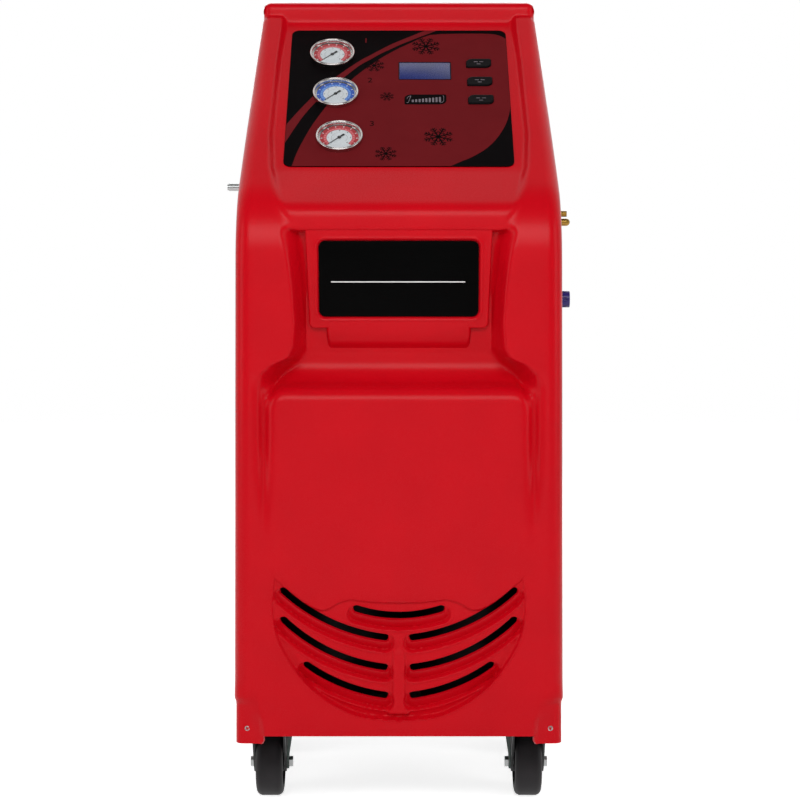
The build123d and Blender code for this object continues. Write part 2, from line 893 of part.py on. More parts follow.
def sign_plate():
    plate = sign_plane.offset(-sign_rim_depth) * RectangleRounded(sign_width, sign_height, 9.0)
    return extrude(plate, amount=sign_thickness)


def screw(x, y_head, height, towards):
    """A pan-head screw whose head's underside lies on y_head."""
    tip = (x, y_head + towards * screw_length, height)
    shaft = rod((x, y_head - towards * 0.5, height), tip, screw_radius)
    head = rod((x, y_head - towards * screw_head_height, height), (x, y_head, height), screw_head_radius)
    return shaft + head


def casing_screws():
    screws = Part()
    for x, height in cover_screw_places():
        screws += screw(x, rear, height, -1)
    for side in (-1, 1):
        screws += screw(side * tab_screw_x, front + corner_depth, tab_screw_height, 1)
    return screws


wheel_radius = wheel_diameter / 2
leg_inner = wheel_width / 2 + fork_gap
leg_outer = leg_inner + fork_thickness
caster_y = front + front_caster_depth
rear_caster_y = front + rear_caster_depth
plate_foot = caster_height - caster_plate_thickness
cup_foot = plate_foot - 8.0


def caster_plate(x):
    """Top plate with its race cup and kingpin."""
    middle = Pos(x, caster_y, plate_foot + caster_plate_thickness / 2)
    plate = middle * Box(caster_plate_width, caster_plate_length, caster_plate_thickness)
    cup = Pos(x, caster_y, plate_foot - 4.0) * Cylinder(22.0, 8.0)
    pin_foot = fork_crown_height - fork_thickness - fit_gap
    pin = Pos(x, caster_y, (pin_foot - 2.0 + cup_foot) / 2) * Cylinder(axle_radius, cup_foot - pin_foot + 2.0)
    head = Pos(x, caster_y, pin_foot - 1.5) * Cylinder(8.0, 3.0)
    return plate + cup + pin + head


def leg_outline(trail, top):
    """Side view of a fork leg, from the crown down to the axle."""
    return [
        (-20.0, top), (26.0, top), (trail + 16.0, wheel_radius + 12.0), (trail + 16.0, wheel_radius - 6.0),
        (trail + 8.0, wheel_radius - 13.0), (trail - 8.0, wheel_radius - 13.0),
        (trail - 16.0, wheel_radius - 4.0),
    ]


def fork_legs(x, y, trail, top):
    legs = Part()
    outline = Polyline(*[(y + a, b) for a, b in leg_outline(trail, top)], close=True)
    face = Plane.YZ * make_face(outline)
    for inner in (leg_inner, -leg_outer):
        legs += extrude(face.moved(Location((x + inner, 0, 0))), amount=fork_thickness)
    left = (x - 2 * leg_outer, y + trail, wheel_radius)
    right = (x + 2 * leg_outer, y + trail, wheel_radius)
    return legs - rod(left, right, axle_radius + axle_clearance)


def caster_fork(x):
    crown = fork_crown_height - fork_thickness / 2
    fork = fork_legs(x, caster_y, caster_trail, fork_crown_height)
    fork += Pos(x, caster_y + 3.0, crown) * Box(2 * leg_outer, 46.0, fork_thickness)
    race_height = cup_foot - fit_gap - fork_crown_height
    fork += Pos(x, caster_y, fork_crown_height + race_height / 2) * Cylinder(19.0, race_height)
    return fork - Pos(x, caster_y, fork_crown_height) * Cylinder(axle_radius + axle_clearance, far)


def nut(x, y):
    """Hexagon nut along X, its inner face at x (outwards by sign)."""
    plane = Plane(origin=(x, y, wheel_radius), z_dir=(1, 0, 0))
    return plane * RegularPolygon(nut_radius, 6)


def axle_at(x, y, reach_left, reach_right):
    """Axle bolt with a nut at each end, standing off the legs by the reaches."""
    left = x - leg_outer - reach_left
    right = x + leg_outer + reach_right
    bolt = rod((left - 1.0, y, wheel_radius), (right + 1.0, y, wheel_radius), axle_radius)
    bolt += extrude(nut(left, y), amount=-nut_thickness)
    return bolt + extrude(nut(right, y), amount=nut_thickness)


def wheel(x, y):
    """Moulded wheel: rounded tyre, dished sides and a hub bored for the axle."""
    r = wheel_radius
    w = wheel_width / 2
    bore = axle_radius + axle_clearance
    profile = Plane.YZ * make_face(FilletPolyline(
        (bore, -w), (14.0, -w), (16.0, -w + 6.0), (r - 15.0, -w + 6.0), (r - 13.0, -w), (r, -w),
        (r, w), (r - 13.0, w), (r - 15.0, w - 6.0), (16.0, w - 6.0), (14.0, w), (bore, w),
        radius=[0, 0, 0, 0, 0, tyre_radius, tyre_radius, 0, 0, 0, 0, 0], close=True))
    solid = revolve(profile, Axis.Z)
    return Pos(x, y, wheel_radius) * Rot(0, 90, 0) * solid


def brake_pedal(x, inboard):
    """Cast lever on the axle's inboard side, with a tread behind the wheel."""
    y = caster_y + caster_trail
    low = leg_outer + fit_gap
    arm = make_face(Polyline(
        (low, wheel_radius - 9.0), (low + pedal_thickness, wheel_radius - 9.0),
        (low + pedal_thickness, wheel_radius + 10.0),
        (low + pedal_thickness + 5.5, wheel_radius + 46.0), (low + 0.8, wheel_radius + 46.0), close=True))
    lever = extrude((Plane.XZ * arm).moved(Location((0, 8.0, 0))), amount=16.0)
    link = make_face(Polyline((0, 34.0), (8.0, 46.0), (62.0, 38.0), (62.0, 26.0), close=True))
    lever += extrude((Plane.YZ * link).moved(Location((low + 0.8, 0, wheel_radius))), amount=pedal_thickness)
    tread = make_face(FilletPolyline(
        (46.0, 32.0), (50.0, 38.0), (70.0, 32.0), (68.0, 26.0), radius=1.5, close=True))
    width = leg_outer + low + pedal_thickness
    tread_start = Location((low + 0.8 + pedal_thickness - width, 0, wheel_radius))
    lever += extrude((Plane.YZ * tread).moved(tread_start), amount=width)
    lever -= rod((-1.0, 0, wheel_radius), (2 * leg_outer, 0, wheel_radius), axle_radius + axle_clearance)
    if inboard < 0:
        lever = mirror(lever, Plane.YZ)
    return Pos(x, y, 0) * lever


def rear_caster_brackets():
    brackets = Part()
    for side in (-1, 1):
        x = side * rear_caster_half_span
        brackets += fork_legs(x, rear_caster_y, 0, plate_foot + 1.0)
        plate = Pos(x, rear_caster_y + 3.0, plate_foot + caster_plate_thickness / 2)
        brackets += plate * Box(2 * leg_outer, caster_plate_length, caster_plate_thickness)
    return brackets


def rear_axles():
    axles = Part()
    for side in (-1, 1):
        axles += axle_at(side * rear_caster_half_span, rear_caster_y, 0, 0)
    return axles


def power_entry():
    """Inlet and switch housing: an appliance inlet with three pins, and a rocker frame."""
    flange_y = rear + 2.0
    body = box_between((entry_x - entry_width / 2 + 0.5, back - 24.0, entry_height - entry_length / 2 + 0.5),
                       (entry_x + entry_width / 2 - 0.5, flange_y, entry_height + entry_length / 2 - 0.5))
    body += box_between((entry_x - entry_width / 2 - 4.0, rear, entry_height - entry_length / 2 - 4.0),
                        (entry_x + entry_width / 2 + 4.0, flange_y, entry_height + entry_length / 2 + 4.0))
    socket = Pos(entry_x, flange_y - 9.0, inlet_height) * Box(inlet_width, 18.0 + 0.01, inlet_tall)
    body -= socket
    for dx, dz in ((-7.0, -2.0), (7.0, -2.0), (0, 2.0)):
        body += Pos(entry_x + dx, flange_y - 10.0, inlet_height + dz) * Box(2.0, 16.4, 4.0)
    pocket = Box(rocker_width + 1.0, 15.0 + 0.01, rocker_tall + 2.0)
    return body - Pos(entry_x, flange_y - 7.5, rocker_height) * pocket


def power_switch():
    """Rocker tilted to its off side, in the switch frame."""
    flange_y = rear + 2.0
    profile = make_face(Polyline(
        (flange_y - 7.0, -6.0), (flange_y + 1.5, -rocker_tall / 2), (flange_y + 0.2, 0),
        (flange_y + 1.5, rocker_tall / 2), (flange_y - 7.0, 6.0), close=True))
    rocker = extrude(Plane.YZ * profile, amount=rocker_width / 2, both=True)
    pivot_y = flange_y - 4.0
    tilted = Pos(0, pivot_y, 0) * Rot(rocker_tilt, 0, 0) * Pos(0, -pivot_y, 0) * rocker
    return Pos(entry_x, 0, rocker_height) * tilted


def service_port():
    """Flare connection on the left side: collar, threaded end and a nut inside the wall."""
    y = front + fitting_depth
    wall = side_at(port_height)
    thread_start = -port_reach + port_tip + port_length
    inside = -wall + shell_wall
    port = rod((-port_reach, y, port_height), (thread_start, y, port_height), port_radius - 0.8)
    port += rod((-port_reach + port_tip, y, port_height), (thread_start, y, port_height), port_radius)
    port += rod((thread_start, y, port_height), (-wall - 0.1, y, port_height), port_collar_radius)
    port += rod((thread_start, y, port_height), (inside + 4.0, y, port_height), port_radius)
    port += rod((inside + port_seat, y, port_height), (inside + 14.0, y, port_height), port_nut_radius)
    return port


def service_valve():
    """Brass capped charging port and its ring on the right side."""
    y = front + fitting_depth
    wall = side_at(valve_height)
    inside = wall - shell_wall - fit_gap
    ring_height = valve_height + ring_rise
    port = rod((inside - 4.0, y, valve_height), (port_reach - port_radius, y, valve_height), port_radius)
    port += Pos(port_reach - port_radius, y, valve_height) * Sphere(port_radius)
    ring = rod((inside - 4.0, y, ring_height), (port_reach - 5.0, y, ring_height), ring_radius)
    ring -= rod((port_reach - 9.0, y, ring_height), (port_reach, y, ring_height), ring_radius - 1.6)
    low = (inside - 18.0, y - 10.0, valve_height - 10.0)
    return port + ring + box_between(low, (inside, y + 10.0, ring_height + 8.0))


def drain_valve():
    """Brass needle-valve body behind the blue knob."""
    y = front + fitting_depth
    wall = side_at(knob_height)
    inside = wall - shell_wall - fit_gap
    neck = rod((inside - 4.0, y, knob_height), (wall + 6.0, y, knob_height), 6.0)
    body = box_between((inside - 20.0, y - 10.0, knob_height - 10.0), (inside, y + 10.0, knob_height + 10.0))
    bore_start = (inside - 12.0, y, knob_height)
    bore = rod(bore_start, (wall + far, y, knob_height), knob_stem_radius + axle_clearance)
    return neck + body - bore


def valve_knob():
    """Lobed knob with its stem in the valve body."""
    y = front + fitting_depth
    start = port_reach - knob_length
    plane = Plane(origin=(start, y, knob_height), z_dir=(1, 0, 0))
    grip = extrude(plane * Circle(knob_radius), amount=knob_length)
    end = start + knob_length - 5.0
    for step in range(6):
        angle = math.radians(60 * step)
        a = y + knob_radius * 1.16 * math.cos(angle)
        b = knob_height + knob_radius * 1.16 * math.sin(angle)
        grip -= rod((start - 1.0, a, b), (end, a, b), knob_groove_radius)
    stem_end = side_at(knob_height) - shell_wall - fit_gap - 11.0
    return grip + rod((stem_end, y, knob_height), (start + 1.0, y, knob_height), knob_stem_radius)


fan_y = back - fan_depth / 2


def fan_frame():
    """Square duct against the rear cover, with four arms carrying the motor."""
    frame = Pos(0, fan_y, fan_height) * Box(fan_frame_size, fan_depth, fan_frame_size)
    duct = rod((0, back - fan_depth - 1.0, fan_height), (0, back + 1.0, fan_height), fan_radius + 2.0)
    frame -= duct
    motor_y = back - fan_depth
    frame += rod((0, motor_y, fan_height), (0, motor_y + motor_length, fan_height), motor_radius)
    for angle in (45, 135, 225, 315):
        arm = Pos(0, motor_y + 4.0, fan_height) * Rot(0, angle, 0) * Pos(57.0, 0, 0) * Box(72.0, 8.0, 9.0)
        frame += arm
    return frame + rod((0, motor_y, fan_height), (0, motor_y + 30.0, fan_height), fan_shaft_radius)


def fan_rotor():
    """Hub with flat pitched blades on the motor's shaft."""
    low = back - fan_depth + motor_length + 1.0
    hub_length = 22.0
    rotor = rod((0, low, fan_height), (0, low + hub_length, fan_height), fan_hub_radius)
    blade_length = fan_radius - fan_hub_radius
    for step in range(fan_blades):
        blade = Box(blade_length, fan_blade_thickness, fan_blade_width)
        blade = Pos(fan_hub_radius + blade_length / 2 - 2.0, 0, 0) * Rot(fan_blade_pitch, 0, 0) * blade
        rotor += Pos(0, low + hub_length / 2, fan_height) * Rot(0, step * 360 / fan_blades, 0) * blade
    bore = fan_shaft_radius + axle_clearance
    return rotor - rod((0, low - 1.0, fan_height), (0, low + 17.0, fan_height), bore)


def condenser():
    """Finned coil block against the fan frame, standing on the shelf."""
    width = fan_frame_size + 40.0
    high = back - fan_depth
    low = high - condenser_depth
    top = fan_height + fan_frame_size / 2
    foot = shelf_height + shelf_thickness
    block = box_between((-width / 2, low, foot), (width / 2, high, top))
    gap = (width - 2 * 12.0) / condenser_fins
    for step in range(condenser_fins):
        x = -width / 2 + 12.0 + gap * (step + 0.5)
        block -= box_between((x - gap / 4, low - 1.0, foot + 14.0), (x + gap / 4, low + 14.0, top - 14.0))
    return block


def recovery_compressor():
    """Sealed compressor: drawn shell with a weld seam, on a foot plate with four feet."""
    r = compressor_radius
    base = pan_floor + 14.0
    half = Plane.XZ * make_face(FilletPolyline(
        (0, 0), (r, 0), (r, 62.0), (r + 4.0, 62.0), (r + 4.0, 66.0), (r, 66.0),
        (r, compressor_height), (0, compressor_height),
        radius=[0, 18.0, 0, 0, 0, 0, 34.0, 0], close=True))
    room = Plane.XZ * make_face(FilletPolyline(
        (0, compressor_wall), (r - compressor_wall, compressor_wall),
        (r - compressor_wall, compressor_height - compressor_wall), (0, compressor_height - compressor_wall),
        radius=[0, 10.0, 26.0, 0], close=True))
    body = Pos(compressor_x, compressor_y, base) * (revolve(half, Axis.Z) - revolve(room, Axis.Z))
    plate = Pos(compressor_x, compressor_y, base - 1.5) * Box(2 * r - 6.0, 2 * r - 6.0, 4.0)
    body += plate
    for dx in (-1, 1):
        for dy in (-1, 1):
            x = compressor_x + dx * (r - 14.0)
            y = compressor_y + dy * (r - 14.0)
            body += Pos(x, y, (pan_floor + base) / 2 - 1.0) * Cylinder(9.0, base - pan_floor - 2.0)
    return body


def vacuum_pump():
    """Rotary vane pump: finned motor, pump head with its oil case, and a foot."""
    z = pan_floor + pump_axis_rise
    head_front = pump_back - pump_head_length
    start = head_front - pump_motor_length
    motor = rod((pump_x, start, z), (pump_x, head_front, z), pump_motor_radius)
    for step in range(5):
        y = start + pump_motor_length * (step + 0.5) / 5.5
        motor += rod((pump_x, y, z), (pump_x, y + 1.5 * pump_fin, z), pump_motor_radius + pump_fin)
    half = pump_motor_radius - pump_fin
    head_low = (pump_x - half, head_front, z - half + pump_fin)
    head = box_between(head_low, (pump_x + half, pump_back, head_low[2] + pump_head_height))
    foot_low = (pump_x - 0.8 * half, start + pump_fin, pan_floor)
    foot = box_between(foot_low, (pump_x + 0.8 * half, pump_back - pump_fin, z - 0.7 * pump_motor_radius))
    top = head_low[2] + pump_head_height
    neck_y = pump_back - pump_head_length / 2
    neck = rod((pump_x, neck_y, top), (pump_x, neck_y, top + 18.0), 8.0)
    return motor + head + foot + neck


tank_y = front + tank_depth
platform_foot = pan_floor + cell_height
tank_foot = platform_foot + platform_thickness
tank_top = tank_foot + tank_height


def load_cell():
    """Bending-beam scale cell on two pads."""
    beam = Pos(tank_x, tank_y, pan_floor + cell_height / 2) * Box(130.0, 30.0, cell_height - 8.0)
    beam += Pos(tank_x - 50.0, tank_y, pan_floor + 3.0) * Box(30.0, 30.0, 6.0)
    beam += Pos(tank_x + 50.0, tank_y, platform_foot - 3.0) * Box(30.0, 30.0, 6.0)
    return beam - (Pos(tank_x, tank_y, pan_floor + cell_height / 2) * Box(44.0, 40.0, 9.0))


def scale_platform():
    """Flat tray that the tank's foot ring stands in."""
    size = 2 * tank_radius + 8.0
    lip = 8.0
    thickness = platform_thickness + lip
    tray = Pos(tank_x, tank_y, platform_foot + thickness / 2) * Box(size, size, thickness)
    return tray - Pos(tank_x, tank_y, tank_foot + lip / 2 + 0.01) * Box(size - 5.0, size - 5.0, lip + 0.02)


def refrigerant_tank():
    """Welded cylinder with domed ends on a foot ring."""
    r = tank_radius
    w = tank_wall
    body = Plane.XZ * make_face(FilletPolyline(
        (0, 22.0), (r, 22.0), (r, tank_height - 25.0), (0, tank_height - 25.0),
        radius=[0, 42.0, 42.0, 0], close=True))
    room = Plane.XZ * make_face(FilletPolyline(
        (0, 22.0 + w), (r - w, 22.0 + w), (r - w, tank_height - 25.0 - w), (0, tank_height - 25.0 - w),
        radius=[0, 42.0 - w, 42.0 - w, 0], close=True))
    ring = Plane.XZ * make_face(Polyline(
        (r - 32.0, 0), (r - 28.0, 0), (r - 28.0, 36.0), (r - 32.0, 36.0), close=True))
    neck = Pos(0, 0, tank_height - 15.0) * Cylinder(16.0, 30.0)
    collar = Plane.XZ * make_face(Polyline(
        (50.0, tank_height - 30.0), (53.0, tank_height - 30.0),
        (53.0, tank_height + 44.0), (50.0, tank_height + 44.0), close=True))
    guard = revolve(collar, Axis.Z) - Pos(0, 0, tank_height + 14.0) * Box(120.0, 50.0, 40.0)
    tank = revolve(body, Axis.Z) + revolve(ring, Axis.Z) + neck + guard - revolve(room, Axis.Z)
    return Pos(tank_x, tank_y, tank_foot) * tank


def tank_valve():
    """Brass twin valve screwed on the tank's neck."""
    base = tank_top
    valve = Pos(tank_x, tank_y, base + 12.0) * Box(24.0, 24.0, 24.0)
    valve += rod((tank_x - 26.0, tank_y, base + 12.0), (tank_x + 26.0, tank_y, base + 12.0), 6.0)
    return valve + Pos(tank_x, tank_y, base + 27.0) * Cylinder(11.0, 6.0)


shelf_top = shelf_height + shelf_thickness


def valve_manifold():
    """Aluminium block with a row of solenoid coils."""
    left = manifold_x - manifold_length / 2
    low = (left, manifold_y - manifold_width / 2, shelf_top)
    high = (left + manifold_length, manifold_y + manifold_width / 2, shelf_top + manifold_height)
    block = box_between(low, high)
    for step in range(coil_count):
        x = left + manifold_length * (step + 0.5) / coil_count
        middle = shelf_top + manifold_height + 0.75 * coil_size
        block += Pos(x, manifold_y, middle) * Box(0.92 * coil_size, coil_size, coil_size)
        block += Pos(x, manifold_y, middle - coil_size / 4) * Cylinder(coil_size / 4, 1.3 * coil_size)
    return block


def filter_drier():
    """Spun copper drier lying in two clips on the shelf."""
    z = shelf_top + drier_radius + 7.0
    start = manifold_y - drier_length / 2
    end = start + drier_length
    body = rod((drier_x, start, z), (drier_x, end, z), drier_radius)
    body = fillet(body.edges(), drier_end)
    body += rod((drier_x, start - drier_end, z), (drier_x, end + drier_end, z), drier_end / 2)
    width = 0.75 * drier_radius
    for y in (start + drier_length / 4, end - drier_length / 4):
        low = (drier_x - width, y - drier_end / 2, shelf_top)
        body += box_between(low, (drier_x + width, y + drier_end / 2, z - drier_radius / 2))
    return body


def pipe(points, bend):
    """Copper pipe on straight runs joined by bends."""
    path = FilletPolyline(*points, radius=bend)
    start = Plane(origin=points[0], z_dir=Vector(*points[1]) - Vector(*points[0]))
    return sweep(start * Circle(pipe_radius), path=path)


def pipework():
    """Copper lines: compressor to manifold, manifold to tank, and pump to manifold."""
    compressor_top = pan_floor + 14.0 + compressor_height
    rise = shelf_height - 34.0
    lines = pipe([
        (compressor_x, compressor_y, compressor_top), (compressor_x, compressor_y, rise),
        (compressor_x - 60.0, compressor_y, rise), (compressor_x - 60.0, compressor_y, shelf_height),
    ], 14.0)
    lines += pipe([
        (tank_x + 26.0, tank_y, tank_top + 12.0), (tank_x + 70.0, tank_y, tank_top + 12.0),
        (tank_x + 70.0, tank_y, shelf_height),
    ], 14.0)
    return lines


parts = {
    "front_shell": front_shell(),
    "base_pan": base_pan(),
    "chassis_posts": chassis_posts(),
    "instrument_shelf": instrument_shelf(),
    "rear_cover": rear_cover(),
    "push_handle": push_handle(),
    "control_panel": control_panel(),
    "display_window": display_window(),
    "display_module": display_module(),
    "control_board": control_board(),
    "sign_plate": sign_plate(),
    "casing_screws": casing_screws(),
    "rear_caster_brackets": rear_caster_brackets(),
    "rear_axles": rear_axles(),
    "power_entry": power_entry(),
    "power_switch": power_switch(),
    "service_port": service_port(),
    "service_valve": service_valve(),
    "drain_valve": drain_valve(),
    "valve_knob": valve_knob(),
    "fan_frame": fan_frame(),
    "fan_rotor": fan_rotor(),
    "condenser": condenser(),
    "recovery_compressor": recovery_compressor(),
    "vacuum_pump": vacuum_pump(),
    "load_cell": load_cell(),
    "scale_platform": scale_platform(),
    "refrigerant_tank": refrigerant_tank(),
    "tank_valve": tank_valve(),
    "valve_manifold": valve_manifold(),
    "filter_drier": filter_drier(),
    "pipework": pipework(),
}
for name, place in gauge_places.items():
    parts[name + "_gauge_case"] = on_panel(place) * gauge_case()
    parts[name + "_gauge_dial"] = on_panel(place) * gauge_dial()
    parts[name + "_gauge_lens"] = on_panel(place) * gauge_lens()
    parts[name + "_gauge_needle"] = on_panel(place) * gauge_needle()
for name, place in button_centres.items():
    parts[name + "_button"] = on_panel(place) * key_button()
for name, side in (("left", -1), ("right", 1)):
    x = side * caster_half_span
    y = caster_y + caster_trail
    inner_gap = pedal_thickness + 2 * fit_gap
    reach = (0, inner_gap) if side < 0 else (inner_gap, 0)
    parts[name + "_caster_plate"] = caster_plate(x)
    parts[name + "_caster_fork"] = caster_fork(x)
    parts[name + "_front_axle"] = axle_at(x, y, *reach)
    parts[name + "_front_wheel"] = wheel(x, y)
    parts[name + "_brake_pedal"] = brake_pedal(x, -side)
    parts[name + "_rear_wheel"] = wheel(side * rear_caster_half_span, rear_caster_y)

for name, part in parts.items():
    export_step(part, f"parts/{name}.step")
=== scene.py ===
import json
import math

import bmesh
import bpy
import numpy as np
from bpy.props import FloatProperty, FloatVectorProperty, IntProperty, PointerProperty
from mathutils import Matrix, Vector
from mathutils.geometry import tessellate_polygon


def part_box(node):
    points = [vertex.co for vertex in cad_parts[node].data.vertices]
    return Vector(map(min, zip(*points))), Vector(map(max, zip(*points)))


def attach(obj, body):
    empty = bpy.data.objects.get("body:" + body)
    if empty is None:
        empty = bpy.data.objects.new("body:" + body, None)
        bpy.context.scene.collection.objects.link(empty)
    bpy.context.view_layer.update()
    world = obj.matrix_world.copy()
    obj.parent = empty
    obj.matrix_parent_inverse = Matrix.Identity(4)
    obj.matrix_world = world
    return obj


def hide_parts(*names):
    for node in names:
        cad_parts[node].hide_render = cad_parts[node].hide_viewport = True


bl_info = {
    "name": "Refrigerant Recovery Machine",
    "version": (1, 0, 0),
    "blender": (4, 5, 0),
    "location": "View3D > Sidebar > Recovery Machine",
    "description": "Builds the visual pieces of a refrigerant recovery machine on its CAD frame",
    "category": "Add Mesh",
}

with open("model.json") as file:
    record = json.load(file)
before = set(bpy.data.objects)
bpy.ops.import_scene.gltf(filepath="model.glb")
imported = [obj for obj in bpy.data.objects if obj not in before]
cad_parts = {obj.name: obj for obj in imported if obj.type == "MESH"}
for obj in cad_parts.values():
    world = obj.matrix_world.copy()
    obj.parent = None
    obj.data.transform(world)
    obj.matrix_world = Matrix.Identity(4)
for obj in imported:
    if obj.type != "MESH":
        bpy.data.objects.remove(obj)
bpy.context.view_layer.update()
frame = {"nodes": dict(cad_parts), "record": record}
MM = 0.001

# Driving sizes shared with the CAD source, in millimetres
FRONT = -280.0
BACK = 230.0
SKIRT = 129.0
SHOULDER = 900.0
CREST = 1210.0
RIDGE = 1186.0
LEAN = 14.0
FOOT_HALF = 235.0
SHOULDER_HALF = 230.0
CREST_HALF = 214.0
SIDE_BOW = 1.28
TILT = math.radians(41.2)
TILT_COS = math.cos(TILT)
TILT_SIN = math.sin(TILT)
BED_DEPTH = 110.0
BED_FOOT = 938.0
PLATE = (335.0, 340.0, 12.0)
PLATE_HALF = PLATE[1] / 2
PANEL_ORIGIN = (0.0, FRONT + BED_DEPTH + PLATE_HALF * TILT_COS, BED_FOOT + PLATE_HALF * TILT_SIN)
PANEL_FACE = 1.5
GAUGES = {"upper": (-103.0, 103.8), "middle": (-95.5, 2.3), "lower": (-87.5, -104.6)}
KEYS = {"upper": (122.6, 81.2), "middle": (123.1, 34.6), "lower": (123.6, -11.2)}
DISPLAY = (39.7, 62.4)
SIGN_MIDDLE = (-244.0, 777.3)
SIGN_LEAN = math.atan2(18.0, 140.0)
SIGN_SIZE = (226.0, 107.5)

# The casing's grid starts below the skirt, which trims it
GRID_FOOT = 104.0
CHEEK_RISE = 12.0
CREST_DEPTH = 380.0
CASE_DEPTH = BACK - FRONT
SIDE_ROUND = 22.0
EDGE_ROUND = 12.0
PILLOW_EDGE = 188.0
PILLOW_CORNER = 30.0
GROOVE = {"place": 191.0, "width": 8.0, "depth": 9.5}
POCKET_DEPTH = 10.5
POCKET_OUTLINE = [(300.0, 178.0), (223.0, 178.0), (209.0, 166.0), (199.0, 148.0),
                  (194.0, 100.0), (194.0, 40.0), (300.0, 40.0)]
TAB = {"inner": 193.0, "foot": 116.0, "top": 178.0, "depth": 40.0, "step": 2.0}
SIDE_BEND = 800.0

# Openings in the casing's skin for what stands in the panel
GAUGE_HOLE = 30.6
KEY_HOLE = (39.5, 23.5)
DISPLAY_HOLE = (72.0, 37.0)
BED_REACH = (170.0, 175.0, 12.0)
EDGE_ERROR = 0.12

# Dished air intake: its field laps behind the skin by more than its rim's groove
VENT_TOP = 361.0
VENT_FOOT = 149.0
VENT_MID = (VENT_TOP + VENT_FOOT) / 2
FACE_LEAN = math.atan2(LEAN, SHOULDER - SKIRT)
FIELD_STEP = 1.5
FIELD_HALF = 189.0
FIELD_MARGIN = 6.0
FIELD_LAP = 2.6
FIELD_WALL = 0.004
SLOT_HALF = 6.1
SCOOP_DROP = 6.5
SCOOP_EDGE = (11.0, 13.8)
BEAD_PLACE = 15.2
BEAD_WIDTH = 1.5
BEAD_RISE = 1.3
RIM_EDGE = (1.8, 5.0)

# Gauges: heights over the panel's bed, and the pointer's full sweep
DIAL_FACE = 2.8
DIAL_START = -45.0
DIAL_SWEEP = 270.0
LENS_SEAT = 6.0
LENS_RADIUS = 30.5


def linear(code):
    """An sRGB hex colour as linear RGBA."""
    parts = [int(code[i:i + 2], 16) / 255 for i in (0, 2, 4)]
    return tuple(c / 12.92 if c <= 0.04045 else ((c + 0.055) / 1.055) ** 2.4 for c in parts) + (1.0,)


def add_node(tree, kind, inputs=None, **settings):
    """Adds a node, sets its properties and sets or links its inputs."""
    node = tree.nodes.new(kind)
    for key, value in settings.items():
        setattr(node, key, value)
    for key, value in (inputs or {}).items():
        if isinstance(value, bpy.types.NodeSocket):
            tree.links.new(value, node.inputs[key])
        else:
            node.inputs[key].default_value = value
    return node


def scalar(tree, operation, *values):
    """One step of arithmetic in a node tree."""
    return add_node(tree, "ShaderNodeMath", dict(enumerate(values)), operation=operation).outputs[0]


def smooth(value, low=0.0, high=1.0):
    """Smooth step from 0 at low to 1 at high."""
    t = np.clip((np.asarray(value, float) - low) / (high - low), 0.0, 1.0)
    return t * t * (3 - 2 * t)


def turned_by(spot, angle):
    """A flat vector turned anticlockwise by an angle."""
    c, s = math.cos(angle), math.sin(angle)
    return [spot[0] * c - spot[1] * s, spot[0] * s + spot[1] * c]


def filleted(points, step):
    """A (depth, height, radius) line with rounded corners as a dense array, and each corner's place on it."""
    corners = [np.array(p[:2], float) for p in points]
    radii = [p[2] for p in points]
    line = [corners[0]]
    marks = [0]
    for before, here, after, radius in zip(corners, corners[1:], corners[2:], radii[1:]):
        to_before = (before - here) / np.linalg.norm(before - here)
        to_after = (after - here) / np.linalg.norm(after - here)
        half = math.acos(np.clip(np.dot(to_before, to_after), -1, 1)) / 2
        if radius == 0:
            line.append(here)
            marks.append(len(line) - 1)
            continue
        reach = radius / math.tan(half)
        middle = to_before + to_after
        centre = here + middle / np.linalg.norm(middle) * radius / math.sin(half)
        start = here + to_before * reach - centre
        end = here + to_after * reach - centre
        turn = math.atan2(start[0] * end[1] - start[1] * end[0], np.dot(start, end))
        count = max(4, int(abs(turn) * radius / step))
        for k in range(count + 1):
            line.append(centre + turned_by(start, turn * k / count))
        marks.append(len(line) - 1 - count // 2)
    line.append(corners[-1])
    marks.append(len(line) - 1)
    return np.array(line), marks


def along(line, marks, counts):
    """Resamples a line: counts[k] even steps by length between mark k and mark k + 1."""
    length = np.concatenate([[0], np.cumsum(np.linalg.norm(np.diff(line, axis=0), axis=1))])
    stations = []
    for a, b, count in zip(marks, marks[1:], counts):
        stations += list(np.linspace(length[a], length[b], count, endpoint=False))
    stations.append(length[marks[-1]])
    return np.stack([np.interp(stations, length, line[:, k]) for k in (0, 1)], axis=1)


def front_depth(height):
    """How far the leaning front stands back at a height."""
    return LEAN * (height - SKIRT) / (SHOULDER - SKIRT)


def bed_height(depth, rise=0.0):
    """Height of the panel's bed at a depth, or of a face that stands over it by rise."""
    run = depth - BED_DEPTH + rise * TILT_SIN
    return BED_FOOT + rise * TILT_COS + run * TILT_SIN / TILT_COS


def half_width(height):
    """Half width of the casing at a height: upright sides, then leaning in above the shoulder."""
    height = np.asarray(height, float)
    low = FOOT_HALF - (FOOT_HALF - SHOULDER_HALF) * (height - SKIRT) / (SHOULDER - SKIRT)
    rise = np.clip((height - SHOULDER) / (RIDGE - SHOULDER), 0, 1)
    bow = 4 * SIDE_BOW * rise * (1 - rise)
    return np.where(height < SHOULDER, low, SHOULDER_HALF - (SHOULDER_HALF - CREST_HALF) * rise + bow)


def mesh_piece(name, vertices, faces, material):
    """A mesh object from points in millimetres."""
    mesh = bpy.data.meshes.new(name)
    mesh.from_pydata([tuple(float(c) * MM for c in v) for v in vertices], [],
                     [tuple(int(i) for i in f) for f in faces])
    mesh.validate()
    piece = bpy.data.objects.new(name, mesh)
    bpy.context.scene.collection.objects.link(piece)
    piece.data.materials.append(material)
    return piece


def soften(piece, angle=38.0):
    """Smooth shading that keeps edges sharper than the angle."""
    for polygon in piece.data.polygons:
        polygon.use_smooth = True
    piece.data.set_sharp_from_angle(angle=math.radians(angle))


